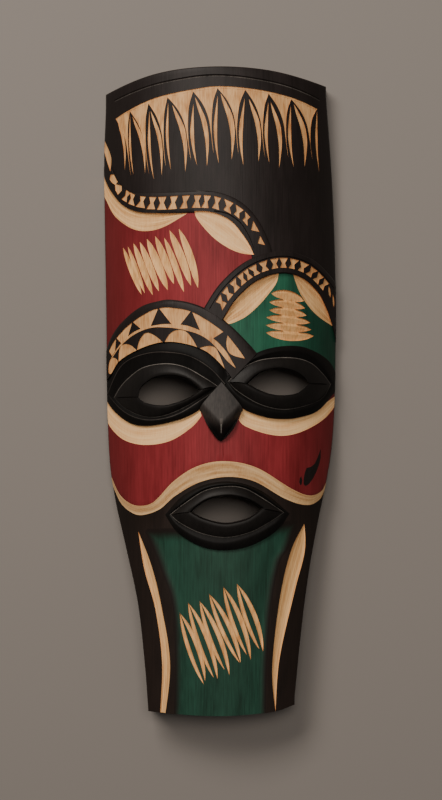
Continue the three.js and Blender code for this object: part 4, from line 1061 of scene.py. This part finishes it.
# where each tooth begins and ends on the rib, and on the rim
BROW_TEETH = [
    (-68.5, -66.5, -70.6, -65.8), (-62.2, -58, -65.5, -55.1), (-49.5, -43.4, -54.8, -38.6),
    (-30.2, -25, -38.1, -18.5), (-12.8, -4.9, -17.6, 1.4)]
LAST_TOOTH = ([(4, 34.5), (7.9, 29.7), (11.6, 24.8), (14.6, 20.4)],
              [(4, 34.5), (3.2, 29.8), (4.3, 24.9), (7.6, 22.2), (14.6, 20.4)])
BROW_DOMES = [
    [(-68.9, 11.5), (-70.8, 12.1), (-70.8, 17.2), (-69.6, 20.9), (-67.2, 21.8), (-65, 20.2), (-64.5, 17.6)],
    [(-64.2, 19.3), (-63.8, 25.8), (-62.4, 29.2), (-59.5, 30.1), (-55.9, 29.1), (-52.3, 26)],
    [(-52, 26.1), (-51.1, 30.4), (-48.8, 34.7), (-46.1, 36.7), (-43.1, 36.1), (-39.3, 33.8), (-35.6, 30.4)],
    [(-34.7, 30.6), (-31.9, 35.2), (-28.1, 37.8), (-23.8, 38.1), (-20.8, 36.5), (-17.7, 32.9),
     (-14.6, 27.3)],
    [(-12.8, 27), (-9.3, 28), (-6.2, 28.2), (-3.3, 26.9), (-1.4, 23.4), (0.3, 19.4), (2.5, 13.7)]]
brow_level = raised(front, BROW_RISE)
RIB_START, RIB_END, RIB_DEPTH = -69.5, 8.8, 0.4
TOOTH_LAP = 0.3               # the teeth reach a little into the rib
BASE_LAP = 0.6                # the domes' cuts run out over the brow's lower edge


def stretch(edge, start, stop, count):
    """Points on one of the brow's lines from one x to another"""
    return [along(edge, start, stop)(t) for t in steps(count)]


cuts = []
for i, (rib_start, rib_end, start, end) in enumerate(BROW_TEETH):
    cuts.append(gouge(f"brow_tooth_{i}", dropped(stretch(rib_top, rib_start, rib_end, 4), TOOTH_LAP),
                      stretch(brow_wood, start, end, 6), CHIP_DEPTH, FLAT, level=brow_level))
cuts.append(gouge("brow_tooth_last", *LAST_TOOTH, CHIP_DEPTH, FLAT, 24, brow_level))
for i, over in enumerate(BROW_DOMES):
    base = dropped(stretch(brow_foot, over[0][0], over[-1][0], 4), BASE_LAP)
    cuts.append(gouge(f"brow_dome_{i}", base, over, CHIP_DEPTH, FLAT, 24, brow_level))
rib = [stretch(edge, RIB_START, RIB_END, 16) for edge in (rib_under, rib_top)]
cuts.append(gouge("brow_rib", *rib, RIB_DEPTH, FLAT, 60, brow_level))
combine(body, cuts, "DIFFERENCE")

# %% [markdown]
# ## Eyes, mouth and nose
# Each eye is an almond in relief: an outer rim, a valley inside it, and lids that swell like a coffee
# bean towards the opening. An inset keeps one distance all round, but these rings come closer at the
# corners. So it starts as a circle that is extruded ring by ring, and each ring goes to its own outline.

# %% Almonds in relief
AROUND = 44


def almond(left, right, upper, lower):
    over, under = line([left, *upper, right]), line([left, *lower, right])
    return [under(t) for t in steps(AROUND)[:-1]] + [over(t) for t in steps(AROUND)[:0:-1]]


def stack_rings(name, rings, finishes):
    """A solid from rings of points, lowest first; each finish belongs to the step above a ring"""
    bpy.ops.mesh.primitive_circle_add(vertices=len(rings[0]), radius=1, fill_type="NGON")
    piece = bpy.context.object
    piece.name = name
    for _ in rings[1:]:
        bpy.ops.object.mode_set(mode="EDIT")
        bpy.ops.mesh.extrude_region_move(TRANSFORM_OT_translate={"value": (0, 0, 1)})
        bpy.ops.object.mode_set(mode="OBJECT")
    vertices = piece.data.vertices
    kinds = list(dict.fromkeys(finishes))
    for finish in kinds:
        piece.data.materials.append(finish)
    for face in piece.data.polygons:
        level = round(min(vertices[i].co.z for i in face.vertices))
        face.material_index = kinds.index(finishes[min(level, len(finishes) - 1)])
    by_height = {}
    for vertex in vertices:
        by_height.setdefault(round(vertex.co.z), []).append(vertex)
    for k, ring in enumerate(rings):
        ordered = sorted(by_height[k], key=lambda v: math.atan2(v.co.y, v.co.x) % (2 * math.pi))
        for vertex, point in zip(ordered, ring):
            vertex.co = Vector(point) * MM
    tidy_mesh(piece)
    return piece


# %% [markdown]
# The sharp lines round the lids catch the light as thin pale lines, and these are painted highlights. The
# shader could look for sharp edges, but it would find every cut. Each is a ring of faces under half a
# millimetre wide with a pale grey finish, the painted highlight. The plan lists the rings from the foot of
# the rim to the opening: between which outlines a ring lies, its share of the way, a fixed distance
# towards the next outline, its rise, and the finish of the faces above it.

# %% Lids and lips
# the width, drop and greatest share of the thin rings that carry the painted highlights
HIGHLIGHT_WIDTH, HIGHLIGHT_DROP, HIGHLIGHT_MOST = 0.4, 0.15, 0.4
LID_START = VALLEY + 0.35
CORNER_REACH, CORNER_SHARE = 10.0, 0.1   # the rims sink towards the corners, over this reach to this share
INNER_WALL = 0.12


def swell(t, steep):
    """From 0 to 1, rising fast at first like the side of a coffee bean"""
    return math.sin(t * math.pi / 2) ** steep


# crest_finish is the finish of a thin ring at the crest: a painted highlight where it is not the rim's black
def lids(name, edge, crest, valley, opening, level, crest_finish=rim_stain):
    middle = centre(opening)
    inside = [mix(p, middle, INNER_WALL) for p in opening]
    plan = [(edge, edge, 0, 0, -EMBED, rim_stain), (edge, edge, 0, 0, RIM_EDGE, rim_stain)]
    plan += [(edge, crest, t, 0, between(RIM_EDGE, RIM_CREST, swell(t, 1)), rim_stain)
             for t in (0.1, 0.3, 0.55, 0.8)]
    plan += [(crest, valley, 0, 0, RIM_CREST, crest_finish),
             (crest, valley, 0, HIGHLIGHT_WIDTH, RIM_CREST - HIGHLIGHT_DROP, rim_stain)]
    plan += [(crest, valley, t, 0, between(RIM_CREST, VALLEY, t), rim_stain) for t in (0.4, 0.7)]
    # the ring at the valley carries a painted highlight
    plan += [(valley, crest, 0, HIGHLIGHT_WIDTH, VALLEY, worn_and_highlight_stain),
             (valley, opening, 0, 0, LID_START, lid_stain)]
    plan += [(valley, opening, t, 0, between(LID_START, LID_RISE, swell(t, 0.9)), lid_stain)
             for t in (0.08, 0.18, 0.3, 0.45, 0.6, 0.75, 0.88)]
    plan += [(opening, inside, t, 0, LID_RISE - drop, lid_stain)
             for t, drop in ((0, 0.3), (0.35, 1.1), (0.7, 3), (1, 6))]
    corners = [edge[0], edge[AROUND]]
    rings = []
    for outer, inner, share, reach, rise, _ in plan:
        on_rim = 0 < rise <= RIM_CREST and outer in (edge, crest)
        ring = []
        for p, q in zip(outer, inner):
            x, y = mix(p, q, share + (min(HIGHLIGHT_MOST, reach / math.dist(p, q)) if reach else 0))
            near = ease(min(1, min(math.dist((x, y), c) for c in corners) / CORNER_REACH)) if on_rim else 1
            ring.append((x, y, level(x, y) + rise * between(CORNER_SHARE, 1, near)))
        rings.append(ring)
    return stack_rings(name, rings, [finish for *_, finish in plan])


LEFT_EYE = dict(
    edge=almond(
        (-76, 1), (5.5, 7),
        [(-69.2, 12), (-64.2, 19.5), (-52.3, 26.4), (-34.3, 31.4), (-14.6, 27.8), (-0.6, 17.5)],
        [(-68.6, -10.6), (-56.6, -19.2), (-43.8, -20.8), (-25.1, -16.8), (-12.8, -10.4), (-3.7, 0)]),
    crest=almond(
        (-72, -1), (2.6, 5),
        [(-64.5, 14), (-56.6, 20.7), (-43.8, 24.4), (-31.3, 24.5), (-18.9, 22), (-6.7, 14.8)],
        [(-61.6, -11.6), (-50, -16.7), (-38, -16.9), (-25, -13), (-10, -3.6)]),
    valley=almond(
        (-67, -3.4), (-2.2, 3.4),
        [(-63.2, 2.6), (-57.9, 8.2), (-48.2, 14.9), (-34.4, 17.2), (-22, 15), (-9.8, 8.3)],
        [(-59.9, -9.9), (-47, -15.1), (-34.4, -14.1), (-18.9, -7.3)]),
    opening=almond(
        (-51.6, -3.4), (-11.7, 1.3),
        [(-50.2, 1.9), (-47, 5.6), (-40.6, 9.4), (-31, 10.7), (-22, 8.9), (-15.9, 5.3)],
        [(-47, -6.8), (-37, -8.8), (-28.2, -7.3), (-18.9, -3.7)]))
RIGHT_EYE = dict(
    edge=almond(
        (1.4, 6.6), (76, 5),
        [(7.4, 13.4), (15.3, 20.1), (26.9, 26), (42.5, 28.6), (55.3, 26.7), (68.6, 19)],
        [(4.9, -1.2), (14, -10.4), (26.9, -15.3), (38, -16.6), (48.9, -15.6), (61.9, -10.7)]),
    crest=almond(
        (3.2, 6.6), (72, 5),
        [(14, 16.6), (27, 23), (42.5, 25.2), (58, 21)],
        [(10, -1.6), (22, -8.6), (36.2, -12), (49, -10.8), (61.9, -6.2)]),
    valley=almond(
        (4.6, 6.3), (69, 5),
        [(11.6, 13.2), (23.9, 19.3), (42.5, 21), (55.3, 18.2), (64, 11)],
        [(10.4, 0.6), (23.9, -7.3), (39, -10.5), (55.3, -7.4), (64, -3)]),
    opening=almond(
        (15, 5), (54.6, 5.3),
        [(20.8, 10.4), (26.9, 13.5), (36.2, 15), (45.7, 13), (51.5, 9.4)],
        [(23.9, 0.3), (33, -2.3), (42.5, -2.1), (48.9, 0)]))
MOUTH = dict(
    edge=almond(
        (-34.5, -75.8), (42.5, -75.4),
        [(-23.5, -63.8), (-8, -56.3), (9, -55.2), (26, -61.5)],
        [(-26.4, -86.7), (-12, -94.8), (2.5, -97), (17.8, -94.5), (33.3, -86.3)]),
    crest=almond(
        (-32.6, -75.6), (40.3, -74.8),
        [(-23, -67.2), (-10.3, -59), (3.7, -56.4), (15.3, -57.8), (28, -64.8)],
        [(-25.2, -83), (-12.9, -89.5), (2.5, -92), (20.9, -87.2), (33.3, -80.7)]),
    valley=almond(
        (-31, -75.4), (38.6, -74.4),
        [(-22.1, -68.5), (-9.8, -60.6), (3.7, -58), (14.7, -59.4), (27, -66.4)],
        [(-25.2, -80.2), (-12.9, -86.1), (2.5, -88.9), (17.8, -85.9), (30, -79.8)]),
    opening=almond(
        (-19.4, -73.4), (26.4, -71.2),
        [(-15.9, -70.2), (-9.8, -66.1), (-3.7, -64), (5.5, -63), (14.7, -64.7), (20.9, -67.5)],
        [(-15.9, -75.6), (-9.8, -78.4), (2.4, -81), (14.7, -78.8), (20.9, -75.5)]))
# the left eye's crest carries a dimmer painted highlight
combine(body, [lids("left_eye", level=front, crest_finish=faint_highlight_stain, **LEFT_EYE),
               lids("right_eye", level=front, **RIGHT_EYE),
               lids("mouth", level=chin_level, **MOUTH)], "UNION")

# %% [markdown]
# In the corners of each eye and of the mouth the upper and the lower lid meet in a narrow crease. It
# could be a fold in the rings, but it is far narrower than the space between their points. So it is cut
# in afterwards, with the same leaf as the strokes, along the height of the lid.

# %% Creases in the corners
CREASES = [
    ((-50, -3.2), (-66, -3.5), front),
    ((-13, 1.2), (-4.5, 3.1), front),
    ((16, 5), (6.5, 6), front),
    ((53.5, 5.2), (67, 5), front),
    ((-18, -73.5), (-30, -75.3), chin_level),
    ((25, -71.4), (37.5, -74.3), chin_level)]
CREASE_WIDTH, CREASE_DEPTH = 1.0, 0.8


def lid_height(start, end, level):
    """The height of the lid from the opening to the corner"""
    def at(x, y):
        share = min(1, max(0, (x - start[0]) / (end[0] - start[0])))
        return level(x, y) + between(LID_START, LID_RISE, swell(1 - share, 0.9))
    return at


combine(body, [leaf(f"crease_{i}", a, b, CREASE_WIDTH, depth=CREASE_DEPTH, section=CREASED,
                    level=lid_height(a, b, level), finish=lid_stain)
               for i, (a, b, level) in enumerate(CREASES)], "DIFFERENCE")

# %% [markdown]
# The nose is three planes left by a broad chisel: a flat bridge that widens downwards, and two steep
# sides that meet over the tip. Bevelled edges between flat faces would look machined. So its height is
# the lowest of the planes, and a soft minimum rounds the edges between them as rubbing does.

# %% The nose
NOSE_TIP = (0.1, -30.2)
NOSE_CORNERS = ((-12.2, -8.6), (12.6, -9))
NOSE_LEFT = [(0.3, 6), NOSE_CORNERS[0], (-11.2, -13.6), (-8.6, -19.8), (-5.4, -24.9), (-2.4, -28.7),
             NOSE_TIP]
NOSE_RIGHT = [(0.3, 6), NOSE_CORNERS[1], (11.8, -13.3), (9.8, -18.2), (7.3, -22.6), (3.7, -27.1), NOSE_TIP]
NOSE_START, NOSE_RISE, NOSE_TOP_Y, NOSE_RIDGE_Y = 1.8, 8.0, 6.0, -20.0
NOSE_ROOT = 40.0              # the nose's block starts well inside the wood
SIDE_STEEPNESS, SIDE_OUT, SIDE_DOWN, SIDE_FOOT = 1.2, 2.4, 1.4, 1
SOFT_TIP, SOFT_RIDGE, SOFT_SIDES, RIDGE_FALL, NOSE_LEAST = 1.2, 0.6, 2.6, 6, 0.8
RIDGE_START, RIDGE_PALE, RIDGE_END, RIDGE_WIDTH, RIDGE_LEAST = 0.6, 0.68, 0.84, 0.04, 0.012


def soft_min(a, b, radius):
    h = max(radius - abs(a - b), 0) / radius
    return min(a, b) - h * h * radius / 4


def nose_bridge(y):
    return NOSE_START + (NOSE_RISE - NOSE_START) * (NOSE_TOP_Y - y) / (NOSE_TOP_Y - NOSE_RIDGE_Y)


def nose_sides(x, y):
    """The two planes that start a little outside the corners of the nose and meet over its tip"""
    sides = []
    for corner, way_out in zip(NOSE_CORNERS, (-1, 1)):
        x0, y0 = corner[0] + way_out * SIDE_OUT, corner[1] - SIDE_DOWN
        way = (NOSE_TIP[0] - x0, NOSE_TIP[1] - y0)
        across = abs((x - x0) * way[1] - (y - y0) * way[0]) / math.hypot(*way)
        sides.append(SIDE_FOOT + SIDE_STEEPNESS * across)
    return soft_min(*sides, SOFT_TIP)


def nose_rise(x, y):
    ridge = NOSE_RISE - (NOSE_RIDGE_Y - y) / RIDGE_FALL
    return soft_min(soft_min(nose_bridge(y), ridge, SOFT_RIDGE), nose_sides(x, y), SOFT_SIDES)


nose_l, nose_r = line(NOSE_LEFT), line(NOSE_RIGHT)


def nose_top(u, v):
    x, y = mix(nose_l(v), nose_r(v), u)
    return x, y, front(x, y) + max(NOSE_LEAST, nose_rise(x, y))


def nose_finish(u, v):
    """The nose is painted grey as light on its bridge, with a painted highlight palest on the short ridge
    below it
    """
    half = RIDGE_WIDTH * (RIDGE_END - v) / (RIDGE_END - RIDGE_START) + RIDGE_LEAST
    if abs(u - 0.5) < half and RIDGE_START < v < RIDGE_END:
        return worn_and_highlight_stain if RIDGE_PALE < v else faint_highlight_stain
    return bridge_painted_light


nose = lay("nose", steps(40), steps(48), nose_top, lambda u, v: (*nose_top(u, v)[:2], NOSE_ROOT),
           [bridge_painted_light, worn_and_highlight_stain, faint_highlight_stain], nose_finish)
combine(body, [nose], "UNION")

# %% [markdown]
# The bands and rims were laid a little past the outline. Ending each of them exactly on it would need
# its own outline for every piece. One block with the mask's outline trims them all in one step.

# %% Saw the overhanging ends of the bands and rims off along the outline
def over_blank(height):
    return lambda u, v: (*on_blank(u, v), height)


OVER_ALL = 80.0
outline_block = lay("outline_block", steps(30), steps(90), over_blank(OVER_ALL), over_blank(0), [black_stain])
combine(body, [outline_block], "INTERSECT")

# %% [markdown]
# The eyes and the mouth are open to the hollow. A straight punch would show a thick wall in them, and
# the carver opens them from behind with a knife, so they widen towards the back. The same rings as for
# the lids, grown and shrunk about their middle, make such a plug.

# %% The openings go right through, a little wider behind
PLUG = ((1.1, -5), (1.0, 30), (0.93, 42), (0.93, 75))   # rings as (share of the outline, height)


def through(name, outline):
    rings = [[(*mix(centre(outline), p, wide), height) for p in outline] for wide, height in PLUG]
    return stack_rings(name, rings, [black_stain])


combine(body, [through(name, form["opening"])
               for name, form in (("left_eye_hole", LEFT_EYE), ("right_eye_hole", RIGHT_EYE),
                                  ("mouth_hole", MOUTH))], "DIFFERENCE")

# %% [markdown]
# ## Finishing the carving
# Crossing cuts can leave loose crumbs, which fall off the real mask too, so only the largest loose part
# is kept. They also leave corners that are closer than a hundredth of a millimetre, and a flap that
# hangs on one corner. Remeshing would clean all of it, but it would round off the edges of the cuts. So
# only what fell together is merged, and the print says whether the mask is closed.

# %% Merge what fell together, drop flaps and crumbs
CLOSE = 0.01 * MM
only(body)
bpy.ops.object.mode_set(mode="EDIT")
bpy.ops.mesh.select_mode(type="FACE")
bpy.ops.mesh.select_all(action="SELECT")
bpy.ops.mesh.quads_convert_to_tris()
bpy.ops.mesh.remove_doubles(threshold=CLOSE)
bpy.ops.mesh.dissolve_degenerate(threshold=CLOSE)
bpy.ops.mesh.select_all(action="DESELECT")
bpy.ops.object.mode_set(mode="OBJECT")
uses = Counter(key for face in body.data.polygons for key in face.edge_keys)
flaps = [face for face in body.data.polygons if all(uses[key] == 1 for key in face.edge_keys)]
for face in flaps:
    face.select = True
bpy.ops.object.mode_set(mode="EDIT")
bpy.ops.mesh.delete(type="FACE")
bpy.ops.mesh.select_all(action="SELECT")
bpy.ops.mesh.delete_loose()
bpy.ops.mesh.select_all(action="SELECT")
bpy.ops.mesh.separate(type="LOOSE")
bpy.ops.object.mode_set(mode="OBJECT")
parts = sorted(bpy.context.selected_objects, key=lambda o: len(o.data.polygons))
body = parts.pop()
for crumb in parts:
    bpy.data.objects.remove(crumb)
uses = Counter(key for face in body.data.polygons for key in face.edge_keys)
open_edges = sum(count != 2 for count in uses.values())
print(len(flaps), "flaps and", len(parts), "crumbs removed;", open_edges, "open edges left")

# %% [markdown]
# The mask was carved with x = 0 on the line of the nose, which is easiest. In the frame x = 0 is the
# middle of its footprint, so the mesh is moved over. It is shaded smooth where the surface rolls on,
# and left sharp at the cut edges, which keeps the chips crisp without any bevels.

# %% Place and shade
body.name = "mask_carved"
for vertex in body.data.vertices:
    vertex.co.x += NOSE_TO_MIDDLE * MM
SMOOTH_UNDER = math.radians(32)
only(body)
bpy.ops.object.shade_smooth_by_angle(angle=SMOOTH_UNDER)
triangles = sum(len(face.vertices) - 2 for face in body.data.polygons)
print("mask:", triangles, "triangles,", [m.name for m in body.data.materials])
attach(body, "root")
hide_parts("mask")

# %% [markdown]
# ## Floor, light and camera
# The mask lies on a plain matt floor. One lamp over the camera would flatten the carving. A large soft
# light stands beyond the top of the head, because in the photograph everything that faces up the mask
# is lighter, and a weaker one fills the shadows. The camera is a metre above and looks straight down.

# %% Stage
bpy.ops.mesh.primitive_plane_add(size=6, location=(0, 0, 0))
floor = bpy.context.object
floor.name = "floor"
paper = bpy.data.materials.new("pale_paper_floor")
paper.use_nodes = True
matt = paper.node_tree.nodes["Principled BSDF"].inputs
matt["Base Color"].default_value = linear("#857f7a")
matt["Roughness"].default_value = 0.9
floor.data.materials.append(paper)

LAMP_COLOUR = linear("#fff6ec")[:3]


def soft_light(name, place, size, power):
    data = bpy.data.lights.new(name, "AREA")
    data.color = LAMP_COLOUR
    data.shape = "RECTANGLE"
    data.size, data.size_y = size
    data.energy = power
    lamp = bpy.data.objects.new(name, data)
    bpy.context.scene.collection.objects.link(lamp)
    lamp.location = place
    lamp.rotation_euler = (-Vector(place)).to_track_quat("-Z", "Y").to_euler()
    return lamp


soft_light("key", (-0.6, 1.0, 1.2), (0.9, 0.6), 22.5)
soft_light("front", (0.1, 0.3, 1.6), (0.7, 0.5), 9.5)
world = bpy.data.worlds.new("room")
world.use_nodes = True
room = world.node_tree.nodes["Background"].inputs
room["Color"].default_value = linear("#e6e3df")
room["Strength"].default_value = 0.12
bpy.context.scene.world = world

LENS, CAMERA_HEIGHT = 73.7, 1.046   # in millimetres and metres
FRAME_Y = -4.9                # the middle of the picture lies a little below the middle of the mask
camera_data = bpy.data.cameras.new("camera")
camera_data.sensor_fit = "VERTICAL"
camera_data.sensor_height = 36
camera_data.lens = LENS
camera = bpy.data.objects.new("camera", camera_data)
bpy.context.scene.collection.objects.link(camera)
camera.location = (NOSE_TO_MIDDLE * MM, FRAME_Y * MM, CAMERA_HEIGHT)
bpy.context.scene.camera = camera
